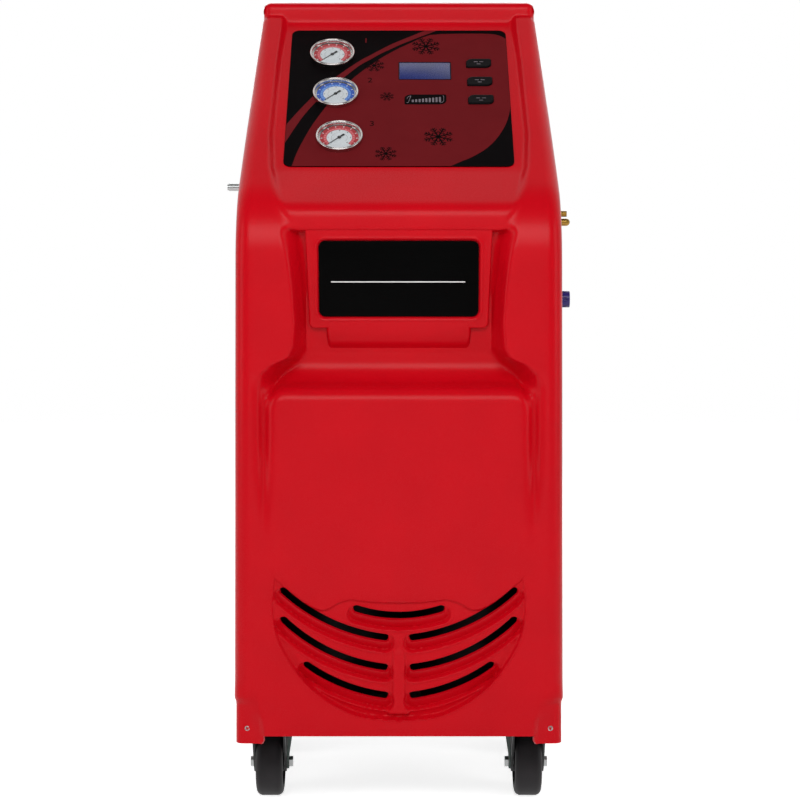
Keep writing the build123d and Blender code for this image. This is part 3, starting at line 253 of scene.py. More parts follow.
def apply_modifiers(piece):
    """Turns the evaluated result into the piece's own plain mesh."""
    graph = bpy.context.evaluated_depsgraph_get()
    mesh = bpy.data.meshes.new_from_object(piece.evaluated_get(graph))
    old = piece.data
    piece.modifiers.clear()
    piece.data = mesh
    mesh.name = piece.name
    if old.users == 0:
        bpy.data.meshes.remove(old)


def segment_distance(points, line):
    """Distance from each point to a polyline."""
    best = np.full(len(points), 1e9)
    for a, b in zip(line[:-1], line[1:]):
        run = b - a
        t = np.clip(((points - a) @ run) / max(run @ run, 1e-9), 0, 1)
        best = np.minimum(best, np.linalg.norm(points - a - t[:, None] * run, axis=1))
    return best


def inside_polygon(points, line):
    """True where a point is inside the closed polyline."""
    inside = np.zeros(len(points), bool)
    x, y = points[:, 0], points[:, 1]
    for (x1, y1), (x2, y2) in zip(line, np.roll(line, -1, axis=0)):
        crosses = (y1 > y) != (y2 > y)
        with np.errstate(divide="ignore", invalid="ignore"):
            at = (x2 - x1) * (y - y1) / (y2 - y1) + x1
        inside ^= crosses & (x < at)
    return inside


def signed(points, line):
    """Signed distance to a closed outline, positive inside."""
    closed = np.vstack([line, line[:1]])
    distance = segment_distance(points, closed)
    return np.where(inside_polygon(points, line), distance, -distance)


def arc_through(a, b, c, count=24):
    """Points of the arc from a through b to c."""
    a, b, c = (np.array(p, float) for p in (a, b, c))
    d = 2 * (a[0] * (b[1] - c[1]) + b[0] * (c[1] - a[1]) + c[0] * (a[1] - b[1]))
    ux = ((a @ a) * (b[1] - c[1]) + (b @ b) * (c[1] - a[1]) + (c @ c) * (a[1] - b[1])) / d
    uy = ((a @ a) * (c[0] - b[0]) + (b @ b) * (a[0] - c[0]) + (c @ c) * (b[0] - a[0])) / d
    centre = np.array([ux, uy])
    angles = [math.atan2(*(p - centre)[::-1]) for p in (a, b, c)]
    sweep = (angles[2] - angles[0]) % (2 * math.pi)
    if (angles[1] - angles[0]) % (2 * math.pi) > sweep:
        sweep -= 2 * math.pi
    radius = np.linalg.norm(a - centre)
    turn = angles[0] + sweep * np.linspace(0, 1, count)
    return centre + radius * np.stack([np.cos(turn), np.sin(turn)], axis=1)


def spline_through(points, count=80):
    """A smooth line through points, by centripetal Catmull-Rom."""
    p = np.array(points, float)
    p = np.vstack([2 * p[0] - p[1], p, 2 * p[-1] - p[-2]])
    out = []
    each = max(2, count // (len(p) - 3))
    for k in range(1, len(p) - 2):
        p0, p1, p2, p3 = p[k - 1:k + 3]
        for t in np.linspace(0, 1, each, endpoint=False):
            bend = (2 * p0 - 5 * p1 + 4 * p2 - p3) * t * t
            twist = (3 * p1 - p0 - 3 * p2 + p3) * t ** 3
            out.append(0.5 * (2 * p1 + (p2 - p0) * t + bend + twist))
    out.append(p[-2])
    return np.array(out)


# Finishes

def finish_of(name):
    """A new empty node material with its output, and the tree to build it in."""
    material = bpy.data.materials.new(name)
    material.use_nodes = True
    tree = material.node_tree
    tree.nodes.clear()
    return material, tree


def shade(tree, shader):
    """Ends a material's tree with its shader."""
    add_node(tree, "ShaderNodeOutputMaterial", {"Surface": shader.outputs[0]})


def speckle(tree, size_mm, detail=2.0):
    """Noise in object space whose features are about size_mm across."""
    place = add_node(tree, "ShaderNodeTexCoord").outputs["Object"]
    return add_node(tree, "ShaderNodeTexNoise", {
        "Vector": place, "Scale": 1000.0 / size_mm, "Detail": detail, "Roughness": 0.5}).outputs["Fac"]


def spread(tree, value, low, high):
    """Maps a 0 to 1 pattern to the range low to high."""
    return add_node(tree, "ShaderNodeMapRange", {
        "Value": value, "From Min": 0.3, "From Max": 0.7, "To Min": low, "To Max": high}).outputs[0]


def tinted(tree, value, dark, light):
    """Mixes two colours by a pattern."""
    return add_node(tree, "ShaderNodeMix", {0: value, 6: dark, 7: light}, data_type="RGBA").outputs[2]


def relief(tree, value, depth_mm, strength=1.0):
    """Fine surface grain, as deep as depth_mm."""
    return add_node(tree, "ShaderNodeBump", {
        "Height": value, "Distance": depth_mm * MM, "Strength": strength}).outputs[0]


def textured(name, dark, light, rough, patch_mm, grain_mm, grain_depth, metallic=0.0, specular=0.5,
             coat=0.0):
    """A finish with broad colour drift, fine grain in its relief and uneven gloss."""
    material, tree = finish_of(name)
    drift = speckle(tree, patch_mm, 3.0)
    grain = speckle(tree, grain_mm, 3.0)
    blend = scalar(tree, "MULTIPLY_ADD", drift, grain, scalar(tree, "MULTIPLY", grain, 0.25))
    mix = spread(tree, blend, 0.0, 1.0)
    inputs = {
        "Base Color": tinted(tree, mix, linear(dark), linear(light)),
        "Roughness": spread(tree, grain, rough * 0.88, rough * 1.12),
        "Normal": relief(tree, grain, grain_depth),
        "Metallic": metallic,
        "Specular IOR Level": specular,
        "Coat Weight": coat,
        "Coat Roughness": 0.1,
    }
    shade(tree, add_node(tree, "ShaderNodeBsdfPrincipled", inputs))
    return material


def clear_lens():
    """Moulded polycarbonate gauge lens: clear, with a faint cast."""
    material, tree = finish_of("Clear polycarbonate lens")
    clear = add_node(tree, "ShaderNodeBsdfTransparent", {"Color": (0.97, 0.98, 0.98, 1.0)})
    haze = speckle(tree, 8.0)
    gloss = add_node(tree, "ShaderNodeBsdfGlossy", {"Roughness": spread(tree, haze, 0.03, 0.09)})
    edge = add_node(tree, "ShaderNodeFresnel", {"IOR": 1.45})
    inside = add_node(tree, "ShaderNodeNewGeometry").outputs["Backfacing"]
    front = scalar(tree, "SUBTRACT", 0.6, inside)
    share = add_node(tree, "ShaderNodeMath", {0: front, 1: edge.outputs[0]}, operation="MULTIPLY",
                     use_clamp=True)
    mixed = {0: share.outputs[0], 1: clear.outputs[0], 2: gloss.outputs[0]}
    shade(tree, add_node(tree, "ShaderNodeMixShader", mixed))
    return material


MATERIALS = {}

# Each finish: common name and making, dark and light colour, roughness, then the size of its colour
# patches, of its grain and of its relief in millimetres, and what else sets it apart
FINISHES = {
    # Ink under a matt laminate: one even colour and almost no mirror image
    "panel_red": ("Printed overlay dark red satin", "67151a", "70191e", 0.5, 40.0, 0.5, 0.008,
                  {"specular": 0.03}),
    # The same laminate over black ink: a deep, quiet black
    "panel_black": ("Printed overlay black satin", "060304", "0c0709", 0.5, 30.0, 0.5, 0.008,
                    {"specular": 0.02}),
    # The same laminate over a lighter red: sets the stripe off from the field
    "panel_stripe": ("Printed overlay stripe red", "6a181d", "741e24", 0.5, 30.0, 0.5, 0.008,
                     {"specular": 0.03}),
    # Back painted acrylic: the darkest black of the front, with hardly any veil
    "sign_black": ("Acrylic plate black gloss", "020202", "050505", 0.5, 60.0, 1.0, 0.004,
                   {"specular": 0.03}),
    # Screen printed ink: dull grey with a faint tooth
    "badge_grey": ("Screen ink grey", "6a6068", "8a8088", 0.5, 20.0, 0.5, 0.004, {}),
    # Screen printed ink: clean opaque white
    "sign_white": ("Screen ink white", "e8e8e8", "f6f6f6", 0.5, 30.0, 0.5, 0.004, {}),
    # Baked powder on sheet steel: dark, with an orange peel that breaks up the light
    "powder_coat": ("Powder coated steel black", "161617", "222224", 0.55, 120.0, 0.9, 0.05, {}),
    # Electroplated zinc: cold silver in cloudy patches
    "zinc_plate": ("Zinc plated steel bright", "a5a8a8", "c4c6c6", 0.32, 25.0, 0.8, 0.01, {"metallic": 1.0}),
    # Lacquer on a stamping: black with a soft gleam on its bends. The black is partly painted shade: it
    # stands in for the shadow on the caster legs' front edges
    "fork_black": ("Stamped steel black lacquer", "0c0c0d", "161618", 0.38, 30.0, 0.8, 0.02, {}),
    # Bare cast lever: dull grey green and slightly grainy
    "lever_grey": ("Cast lever grey green", "4c5a56", "66756f", 0.45, 20.0, 0.9, 0.03, {}),
    # Vulcanised tread: matt, dusty black
    "tyre_rubber": ("Moulded rubber tread black", "1a1719", "272326", 0.62, 20.0, 0.7, 0.05,
                    {"specular": 0.35}),
    # Spun rim, polished and chromed: a bright mirror round each dial
    "chrome_bezel": ("Polished chrome bezel", "cfcac8", "e6e2e0", 0.14, 15.0, 1.0, 0.006, {"metallic": 1.0}),
    # Dial sheet printed in matt inks: reads clearly and throws no glare
    "dial_white": ("Printed dial white", "d8dade", "eceef0", 0.6, 20.0, 0.5, 0.004, {}),
    "dial_red": ("Printed dial red", "b01824", "c02230", 0.55, 20.0, 0.5, 0.004, {}),
    "dial_blue": ("Printed dial blue", "1c50b4", "2c66cc", 0.55, 20.0, 0.5, 0.004, {}),
    "dial_pale_red": ("Printed dial pale red", "dc6a70", "e67e82", 0.55, 20.0, 0.5, 0.004, {}),
    "dial_pale_blue": ("Printed dial pale blue", "6a9ae0", "82aeea", 0.55, 20.0, 0.5, 0.004, {}),
    "dial_black": ("Printed dial black", "1a1c20", "24262a", 0.5, 20.0, 0.5, 0.004, {}),
    # Enamel on thin sheet: a crisp black line over the dial
    "needle_black": ("Enamelled pointer black", "08080a", "101014", 0.4, 10.0, 0.5, 0.004, {}),
    # Tinted window over a lit module: blue under a thin clear gloss
    "display_glass": ("Display window blue", "1a2560", "222f78", 0.28, 20.0, 0.6, 0.004, {"coat": 0.3}),
    # Injection moulded with a spark eroded skin: near black, soft at the edges
    "key_black": ("Moulded key black satin", "060507", "0c0a0d", 0.4, 15.0, 0.6, 0.015, {"specular": 0.06}),
    # Solder mask over copper: dark glossy green
    "board_green": ("Solder mask green", "0c3a22", "14482a", 0.4, 20.0, 1.0, 0.02, {}),
    # Turned and left bare: warm, slightly tarnished yellow
    "brass_fitting": ("Turned brass", "8c6a2c", "b08c48", 0.3, 10.0, 0.6, 0.01, {"metallic": 1.0}),
    # Injection moulded knob: deep violet blue with small highlights
    "knob_blue": ("Moulded knob blue", "1a0a66", "30209a", 0.35, 10.0, 0.8, 0.02, {}),
    # Sand cast or rolled: pale grey metal without a mirror
    "aluminium_part": ("Cast aluminium", "a4a6a8", "bfc1c3", 0.4, 30.0, 0.9, 0.03, {"metallic": 1.0}),
    # Injection moulded housings: plain dark grey with a fine texture
    "black_plastic": ("Moulded plastic black", "131314", "1d1d1f", 0.5, 40.0, 0.9, 0.04, {}),
    # Dipped enamel on a drawn shell: black with slight sags
    "compressor_paint": ("Black enamel on drawn steel", "08080a", "101012", 0.45, 60.0, 1.6, 0.04,
                         {"specular": 0.2}),
    # Sprayed enamel on a welded tank: the same black, a little flatter
    "tank_paint": ("Black enamel on welded steel", "0a0b0c", "121314", 0.45, 80.0, 1.4, 0.04,
                   {"specular": 0.2}),
    # Drawn tube: warm pink metal, dulled by handling
    "copper_pipe": ("Drawn copper", "b06840", "cc8458", 0.3, 25.0, 0.7, 0.012, {"metallic": 1.0}),
}


def casing_finish():
    """Rotationally moulded polyethylene: saturated red, satin, with faint mottling and orange peel."""
    colour = tuple(bpy.context.scene.machine_colours.casing)
    red = colour + (1.0,)
    deep = tuple(c * 0.93 for c in colour) + (1.0,)
    material, tree = finish_of("Moulded casing plastic satin")
    drift = speckle(tree, 90.0, 4.0)
    peel = speckle(tree, 2.2, 2.0)
    fine = speckle(tree, 0.6, 1.0)
    shade(tree, add_node(tree, "ShaderNodeBsdfPrincipled", {
        "Base Color": tinted(tree, spread(tree, drift, 0.0, 1.0), deep, red),
        "Roughness": spread(tree, fine, 0.24, 0.3),
        "Normal": relief(tree, peel, 0.02, 0.5),
        "Specular IOR Level": 0.12,
        "IOR": 1.5,
    }))
    return material


def make_materials():
    """Builds every finish once, under the slot that wears it."""
    MATERIALS["casing_plastic"] = casing_finish()
    MATERIALS["lens_clear"] = clear_lens()
    for slot, (*values, more) in FINISHES.items():
        MATERIALS[slot] = textured(*values, **more)


def hand_over(piece, slot, *nodes, body="housing"):
    """Puts a finished piece on its body, in place of the CAD nodes it stands for."""
    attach(piece, body)
    if nodes:
        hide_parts(*nodes)


# Casing

def cheek_line():
    """Side view of the cheeks, bottom to top and over the crest to the back."""
    climb = RIDGE - BED_FOOT - CHEEK_RISE * TILT_COS
    top_run = BED_DEPTH - CHEEK_RISE * TILT_SIN + climb * TILT_COS / TILT_SIN
    return filleted([
        (front_depth(GRID_FOOT), GRID_FOOT, 0),
        (LEAN, bed_height(LEAN, CHEEK_RISE), 150.0),
        (top_run, RIDGE, 2.5),
        (CREST_DEPTH, RIDGE + 1.5, 1.5),
        (CREST_DEPTH + 0.6, CREST, EDGE_ROUND),
        (CASE_DEPTH, CREST, 0),
    ], 2.0)


def bay_line():
    """Side view of the pillow, saddle, bay floor, nose, panel bed and crest."""
    return filleted([
        (front_depth(GRID_FOOT), GRID_FOOT, 0),
        (front_depth(622.0), 620.0, 24.0),
        (64.0, 640.0, 38.0),
        (61.0, 672.0, 10.0),
        (55.0, 696.0, 30.0),
        (42.0, 845.0, 5.0),
        (24.0, 845.5, 5.0),
        (27.0, bed_height(27.0) + 13.0, 30.0),
        (104.0, bed_height(104.0), 60.0),
        (CREST_DEPTH, bed_height(CREST_DEPTH), 15.0),
        (CREST_DEPTH + 0.6, CREST, EDGE_ROUND),
        (CASE_DEPTH, CREST, 0),
    ], 1.5)


# Rows of points between two corners of the bay line, from the foot to the back
ROW_COUNTS = [94, 24, 12, 8, 16, 12, 8, 18, 40, 12, 12]


def row_table():
    """Matched points of the cheek and bay lines, row by row."""
    bay, bay_marks = bay_line()
    cheek, cheek_marks = cheek_line()
    bay_rows = along(bay, bay_marks, ROW_COUNTS)
    heights = [GRID_FOOT, 622.0, 655.0, 668.0, 700.0, 838.0, 856.0, 886.0, bed_height(104.0, 12.0)]
    length = np.concatenate([[0], np.cumsum(np.linalg.norm(np.diff(cheek, axis=0), axis=1))])
    at = [np.interp(h, cheek[:, 1], length) for h in heights]
    at += [length[cheek_marks[2]], length[cheek_marks[4]], length[cheek_marks[5]]]
    stations = []
    for a, b, count in zip(at, at[1:], ROW_COUNTS):
        stations += list(np.linspace(a, b, count, endpoint=False))
    stations.append(at[-1])
    cheek_rows = np.stack([np.interp(stations, length, cheek[:, k]) for k in (0, 1)], axis=1)
    return cheek_rows, bay_rows


# Height, distance from the middle and softness of the bay's side wall
BAY_WALL = [(560, 186, 10), (600, 187, 12), (622, 187, 18), (634, 184, 24), (650, 167, 30),
            (664, 151, 29), (680, 141, 22), (710, 139.5, 18), (760, 142, 20), (800, 145.5, 23),
            (830, 150, 27), (860, 160, 27), (890, 172, 22), (930, 183, 17), (980, 188, 13),
            (1100, 185, 12), (1175, 180, 12), (1260, 180, 12)]


def wall_place(height):
    """Where the bay's side wall stands at a height, from the middle, and how soft it is."""
    table = np.array(BAY_WALL, float)
    return np.interp(height, table[:, 0], table[:, 1]), np.interp(height, table[:, 0], table[:, 2])


def column_places():
    """Distances from the middle at which the casing's columns stand."""
    fixed = list(np.arange(0, 96, 6.0)) + list(np.arange(96, 140, 4.0)) + list(np.arange(140, 202, 2.0))
    return np.array(fixed)


def panel_coordinates(points):
    """(across, up the slope, lift) of points in millimetres."""
    rel = points - np.array(PANEL_ORIGIN)
    return np.stack([rel[:, 0], rel[:, 1] * TILT_COS + rel[:, 2] * TILT_SIN,
                     -rel[:, 1] * TILT_SIN + rel[:, 2] * TILT_COS], axis=1)


def kept_skin(points):
    """Signed distance to everything cut out of the casing's skin, positive in the material."""
    across = np.abs(points[:, 0])
    height = points[:, 2]
    depth = points[:, 1] - FRONT
    tongue = np.minimum(np.minimum(across - TAB["inner"], height - TAB["foot"]), TAB["depth"] - depth)
    keep = np.maximum(height - SKIRT, tongue)
    uvw = panel_coordinates(points)
    bed = (np.abs(uvw) < BED_REACH).all(axis=1)
    for u, v in GAUGES.values():
        away = np.hypot(uvw[:, 0] - u, uvw[:, 1] - v) - GAUGE_HOLE
        keep = np.where(bed, np.minimum(keep, away), keep)
    for place, size in [(place, KEY_HOLE) for place in KEYS.values()] + [(DISPLAY, DISPLAY_HOLE)]:
        away = (np.abs(uvw[:, :2] - place) - np.array(size) / 2).max(axis=1)
        keep = np.where(bed, np.minimum(keep, away), keep)
    near = (depth < 30.0) & (height < VENT_TOP + 20.0)
    plane = vent_coordinates(points[near])[:, :2]
    keep[near] = np.minimum(keep[near], -signed(plane, vent_outline()))
    return keep


def vent_coordinates(points):
    """(across, up, out) from the middle of the air intake's plane."""
    rel = points - np.array([0.0, FRONT + front_depth(VENT_MID), VENT_MID])
    c, s = math.cos(FACE_LEAN), math.sin(FACE_LEAN)
    return np.stack([rel[:, 0], rel[:, 1] * s + rel[:, 2] * c, -rel[:, 1] * c + rel[:, 2] * s], axis=1)


def from_vent(across, up, out):
    """World millimetres of points given from the middle of the air intake's plane."""
    c, s = math.cos(FACE_LEAN), math.sin(FACE_LEAN)
    y = FRONT + front_depth(VENT_MID) + up * s - out * c
    z = VENT_MID + up * c + out * s
    return np.stack([across, y, z], axis=1)


def vent_outline():
    """Outline of the dished air intake, like the lower half of a shield."""
    high = VENT_TOP - VENT_MID
    low = VENT_FOOT - VENT_MID
    hump = arc_through((-68.0, high - 33.0), (0, high - 38.0), (68.0, high - 33.0), 20)
    shoulder = spline_through([(68.0, high - 33.0), (86.0, high - 38.0), (107.0, high - 48.0),
                               (134.0, high - 37.0), (178.0, high)], 40)
    flank = spline_through([(178.0, high), (182.0, high - 52.0), (169.0, high - 106.0),
                            (127.4, high - 164.0), (65.5, low + 9.0), (0, low)], 70)
    right = np.vstack([hump[10:], shoulder[1:], flank[1:]])
    left = right[::-1] * [-1, 1]
    return np.vstack([right, left[1:-1]])


def slot_paths():
    """Middle lines of the seven intake slots."""
    high = VENT_TOP - VENT_MID - 4.0
    paths = [arc_through((-60.0, high - 46.5), (0, high - 56.0), (60.0, high - 46.5))]
    for a, b, c in [((163.5, high - 21.0), (90.0, high - 69.0), (19.5, high - 88.0)),
                    ((163.5, high - 63.0), (97.0, high - 109.0), (20.5, high - 131.0)),
                    ((131.0, high - 128.0), (77.0, high - 157.0), (20.0, high - 171.5))]:
        right = arc_through(a, b, c)
        paths += [right, right * [-1, 1]]
    return paths


def grid_faces(rows, columns):
    """Quads between the points of a grid, row by row."""
    index = np.arange(rows * columns).reshape(rows, columns)
    return np.stack([index[:-1, :-1], index[:-1, 1:], index[1:, 1:], index[1:, :-1]], axis=-1).reshape(-1, 4)


def trimmed(points, faces, distance_of, reach):
    """Moves grid points nearer to a cut edge than their reach onto it and drops the faces beyond it."""
    step = 0.5
    near = np.abs(distance_of(points)) < reach
    for _ in range(3):
        gradient = np.zeros((near.sum(), 3))
        base = distance_of(points)[near]
        for axis in range(3):
            shifted = points[near].copy()
            shifted[:, axis] += step
            gradient[:, axis] = (distance_of(shifted) - base) / step
        size = np.maximum((gradient ** 2).sum(axis=1), 0.2)
        points[near] -= gradient * (base / size)[:, None]
    distance = distance_of(points)
    corners = distance[faces]
    inside = (corners > EDGE_ERROR).any(axis=1)
    outside = (corners < -EDGE_ERROR).any(axis=1)
    crossed = faces[inside & outside]
    near = np.abs(distance[crossed])
    across = near[:, 0] + near[:, 2] > near[:, 1] + near[:, 3]
    crossed[across] = np.roll(crossed[across], 1, axis=1)
    halves = np.vstack([crossed[:, [0, 1, 2]], crossed[:, [0, 2, 3]]])
    halves = halves[distance[halves].mean(axis=1) > EDGE_ERROR]
    return points, faces[inside & ~outside].tolist() + halves.tolist()


def corner_pocket(across, height):
    """How deep the lower corners are set back for the screw tabs, in millimetres."""
    inside = signed(np.stack([across, height], axis=1), np.array(POCKET_OUTLINE))
    return POCKET_DEPTH * smooth(inside, -9.0, 7.0)


def corner_drop(across):
    """How far the pillow's top has rounded down at a distance from the middle."""
    run = np.clip(across - PILLOW_EDGE + PILLOW_CORNER, 0, PILLOW_CORNER - 1)
    return PILLOW_CORNER - math.sqrt(PILLOW_CORNER ** 2 - run ** 2)


def casing_grid():
    """The casing's outer skin as rows and columns of points."""
    cheek, bay = row_table()
    tangent = np.gradient(cheek, axis=0)
    tangent /= np.linalg.norm(tangent, axis=1)[:, None]
    inward = np.stack([tangent[:, 1], -tangent[:, 0]], axis=1)
    radius = np.interp(cheek[:, 1], [170.0, 205.0, 1060.0, RIDGE],
                       [EDGE_ROUND, SIDE_ROUND, SIDE_ROUND, EDGE_ROUND])
    columns = []
    wall, soft = wall_place(bay[:, 1])
    on_pillow = smooth(bay[:, 1], 520.0, 600.0) * (1.0 - smooth(bay[:, 1], 632.0, 720.0))
    for x in column_places():
        share = 1.0 - smooth((x - wall) / soft, -0.5, 0.5)
        lowered = bay.copy()
        lowered[:, 1] -= corner_drop(x) * on_pillow
        spot = cheek + share[:, None] * (lowered - cheek)
        columns.append((np.full(len(cheek), x), spot))
    for turn in np.radians(np.linspace(0, 90, 11)):
        spot = cheek + inward * (radius * (1 - math.cos(turn)))[:, None]
        x = half_width(spot[:, 1]) - radius * (1 - math.sin(turn))
        columns.append((x, spot))
    length = np.concatenate([[0], np.cumsum(np.linalg.norm(np.diff(cheek, axis=0), axis=1))])
    bend = np.interp(SIDE_BEND, cheek[:200, 1], length[:200])
    rest = np.clip((length - bend) / (length[-1] - bend), 0, 1)
    back_height = np.where(length < bend, cheek[:, 1], SIDE_BEND + (CREST - EDGE_ROUND - SIDE_BEND) * rest)
    start = cheek + inward * radius[:, None]
    end = np.stack([np.full(len(cheek), CASE_DEPTH), back_height], axis=1)
    for share in np.linspace(0, 1, 16)[1:]:
        spot = start + (end - start) * share
        columns.append((half_width(spot[:, 1]), spot))
    grid = np.zeros((len(cheek), len(columns), 3))
    for k, (x, spot) in enumerate(columns):
        depth, height = spot.T
        depth = np.maximum(depth, 0.0) + corner_pocket(x, height) * (1.0 - smooth(depth, 20.0, 50.0))
        beside_tab = smooth(TAB["top"] - height, -3.0, 5.0) * (1.0 - smooth(depth, 60.0, 74.0))
        across = x - TAB["step"] * beside_tab * smooth(x, 215.0, 228.0)
        fade = smooth(height, 400.0, 560.0) * (1.0 - smooth(height, 622.0, 652.0))
        depth = depth + GROOVE["depth"] * fade * np.exp(-((x - GROOVE["place"]) / GROOVE["width"]) ** 2)
        grid[:, k] = np.column_stack([across, FRONT + depth, height])
    left = grid[:, ::-1].copy()
    left[:, :, 0] *= -1
    return np.concatenate([left, grid[:, 1:]], axis=1)


class MACHINE_OT_casing(bpy.types.Operator):
    """Sculpts the moulded front casing and gives it its wall"""
    bl_idname = "machine.casing"
    bl_label = "Moulded casing"

    def execute(self, context):
        sizes = context.scene.machine_sizes
        grid = casing_grid()
        rows, columns = grid.shape[:2]
        points = grid.reshape(-1, 3)
        faces = grid_faces(rows, columns)
        span = np.zeros((rows, columns))
        span[:-1] = np.linalg.norm(np.diff(grid, axis=0), axis=2)
        span[:, :-1] = np.maximum(span[:, :-1], np.linalg.norm(np.diff(grid, axis=1), axis=2))
        points, faces = trimmed(points, faces, kept_skin, np.clip(0.6 * span.reshape(-1), 0.8, 4.2))
        casing = mesh_piece("moulded_casing", points, faces, MATERIALS["casing_plastic"])
        clean_mesh(casing, 0.02)
        give_wall(casing, sizes.casing_wall)
        soften(casing, 45.0)
        hand_over(casing, "casing_plastic", "front_shell")

        steps_x = np.arange(-FIELD_HALF, FIELD_HALF + 0.1, FIELD_STEP)
        low, high = VENT_FOOT - VENT_MID - FIELD_MARGIN, VENT_TOP - VENT_MID + FIELD_MARGIN
        steps_y = np.arange(low, high, FIELD_STEP)
        plane = np.stack(np.meshgrid(steps_x, steps_y), axis=-1).reshape(-1, 2)
        flat = np.hstack([plane, np.zeros((len(plane), 1))])
        outline = vent_outline()
        paths = slot_paths()

        def kept(points):
            keep = signed(points[:, :2], outline) + FIELD_LAP
            for path in paths:
                keep = np.minimum(keep, segment_distance(points[:, :2], path) - SLOT_HALF)
            return keep

        flat, faces = trimmed(flat, grid_faces(len(steps_y), len(steps_x)), kept, 1.0)
        out = -vent_depth(flat[:, :2], outline, paths)
        points = from_vent(flat[:, 0], flat[:, 1], out)
        field = mesh_piece("intake_field", points, faces, MATERIALS["casing_plastic"])
        clean_mesh(field, 0.02)
        give_wall(field, FIELD_WALL)
        soften(field, 60.0)
        hand_over(field, "casing_plastic", "front_shell")
        return {"FINISHED"}


def vent_depth(plane, outline, paths):
    """How deep the intake field lies: deeper downwards, each scoop falling in to its ledge."""
    inside = signed(plane, outline)
    fall = smooth(plane[:, 1], 95.0, -95.0)
    rim = smooth(inside, *RIM_EDGE)
    depth = (3.4 + 5.2 * fall + 2.6 * (1.0 - smooth(inside, 5.0, 17.0)) * fall) * rim
    rib = 8.5 + 7.0 * smooth(-plane[:, 1], 84.0, 94.0) * smooth(plane[:, 1], -100.0, -94.0)
    raised = 1.0 - smooth(np.abs(plane[:, 0]) - rib, -1.5, 1.5)
    raised = raised * smooth(-plane[:, 1], -5.0, 12.0) * smooth(plane[:, 1], -97.0, -94.5)
    depth = depth * (1.0 - 0.62 * raised)
    for path in paths:
        scoop = segment_distance(plane, path - [0.0, SCOOP_DROP])
        slot = segment_distance(plane, path)
        floor = depth + 1.6 + 6.4 * np.clip((slot - SLOT_HALF) / 12.0, 0.0, 1.0)
        pocket = 1.0 - smooth(scoop, *SCOOP_EDGE)
        depth = np.maximum(depth, depth + (floor - depth) * pocket * rim)
        bead = np.exp(-((scoop - BEAD_PLACE) / BEAD_WIDTH) ** 2) * smooth(inside, 4.0, 9.0) * (1.0 - raised)
        depth = depth - BEAD_RISE * bead * smooth(slot - scoop, -3.0, 1.0) * (depth > 1.5)
    return depth + 0.6 * (1.0 - smooth(inside, 0.0, 1.3))


def clean_mesh(piece, distance_mm):
    """Merges doubles and drops unused points, leaving the faces as drawn."""
    work = bmesh.new()
    work.from_mesh(piece.data)
    bmesh.ops.remove_doubles(work, verts=work.verts, dist=distance_mm * MM)
    loose = [v for v in work.verts if not v.link_faces]
    bmesh.ops.delete(work, geom=loose, context="VERTS")
    work.to_mesh(piece.data)
    work.free()


def give_wall(piece, thickness):
    """Thickens a skin inwards, by metres."""
    solid = piece.modifiers.new("Wall", "SOLIDIFY")
    solid.thickness = thickness
    solid.offset = -1.0
    apply_modifiers(piece)


# Shared makers of plates, rings and repeated units


def on_panel(points):
    """World millimetres of (across, up the slope, lift) points on the control panel."""
    p = np.asarray(points, float)
    x0, y0, z0 = PANEL_ORIGIN
    return np.stack([x0 + p[:, 0], y0 + p[:, 1] * TILT_COS - p[:, 2] * TILT_SIN,
                     z0 + p[:, 1] * TILT_SIN + p[:, 2] * TILT_COS], axis=1)


def on_sign(points):
    """World millimetres of (across, up, out) points on the sign's leaning plane."""
    p = np.asarray(points, float)
    c, s = math.cos(SIGN_LEAN), math.sin(SIGN_LEAN)
    return np.stack([p[:, 0], SIGN_MIDDLE[0] - p[:, 1] * s - p[:, 2] * c,
                     SIGN_MIDDLE[1] + p[:, 1] * c - p[:, 2] * s], axis=1)


def rounded_outline(corners, radii, arc_steps=8):
    """Closed outline through corners taken anticlockwise, each rounded by its own radius."""
    corners = [np.array(c, float) for c in corners]
    out = []
    for k, (here, radius) in enumerate(zip(corners, radii)):
        before, after = corners[k - 1], corners[(k + 1) % len(corners)]
        to_before = (before - here) / np.linalg.norm(before - here)
        to_after = (after - here) / np.linalg.norm(after - here)
        half = math.acos(np.clip(to_before @ to_after, -1, 1)) / 2
        middle = to_before + to_after
        centre = here + middle / np.linalg.norm(middle) * radius / math.sin(half)
        start = here + to_before * radius / math.tan(half) - centre
        end = here + to_after * radius / math.tan(half) - centre
        turn = math.atan2(start[0] * end[1] - start[1] * end[0], start @ end)
        for step in range(arc_steps + 1):
            out.append(centre + turned_by(start, turn * step / arc_steps))
    return np.array(out)


def box_outline(width, height, radius, centre=(0.0, 0.0)):
    """Rectangle with four corners of one radius."""
    x, y = width / 2, height / 2
    corners = [(-x, -y), (x, -y), (x, y), (-x, y)]
    return rounded_outline(corners, [radius] * 4) + centre


def leaf_outline(width, height, small, large, centre=(0.0, 0.0)):
    """Plate with two opposite corners swept round, upper left and lower right."""
    x, y = width / 2, height / 2
    return rounded_outline([(-x, -y), (x, -y), (x, y), (-x, y)], [small, large, small, large]) + centre


def lifted(outline, height):
    """A flat outline set at one height."""
    return np.column_stack([outline, np.full(len(outline), float(height))])


def ring_solid(name, rings, material, place=None, angle=30.0, hollow=False):
    """Closed solid through matching rings, capped at its ends; a hollow one closes on itself."""
    count = len(rings[0])
    points = np.vstack(rings)
    if place:
        points = place(points)
    faces = []
    for level in range(len(rings) - 1):
        low, high = level * count, (level + 1) * count
        faces += [(low + k, low + (k + 1) % count, high + (k + 1) % count, high + k) for k in range(count)]
    last = len(points) - count
    if hollow:
        faces += [(last + k, last + (k + 1) % count, (k + 1) % count, k) for k in range(count)]
    else:
        faces.append(tuple(range(count))[::-1])
        faces.append(tuple(range(last, len(points))))
    piece = mesh_piece(name, points, faces, material)
    face_out(piece)
    soften(piece, angle)
    return piece


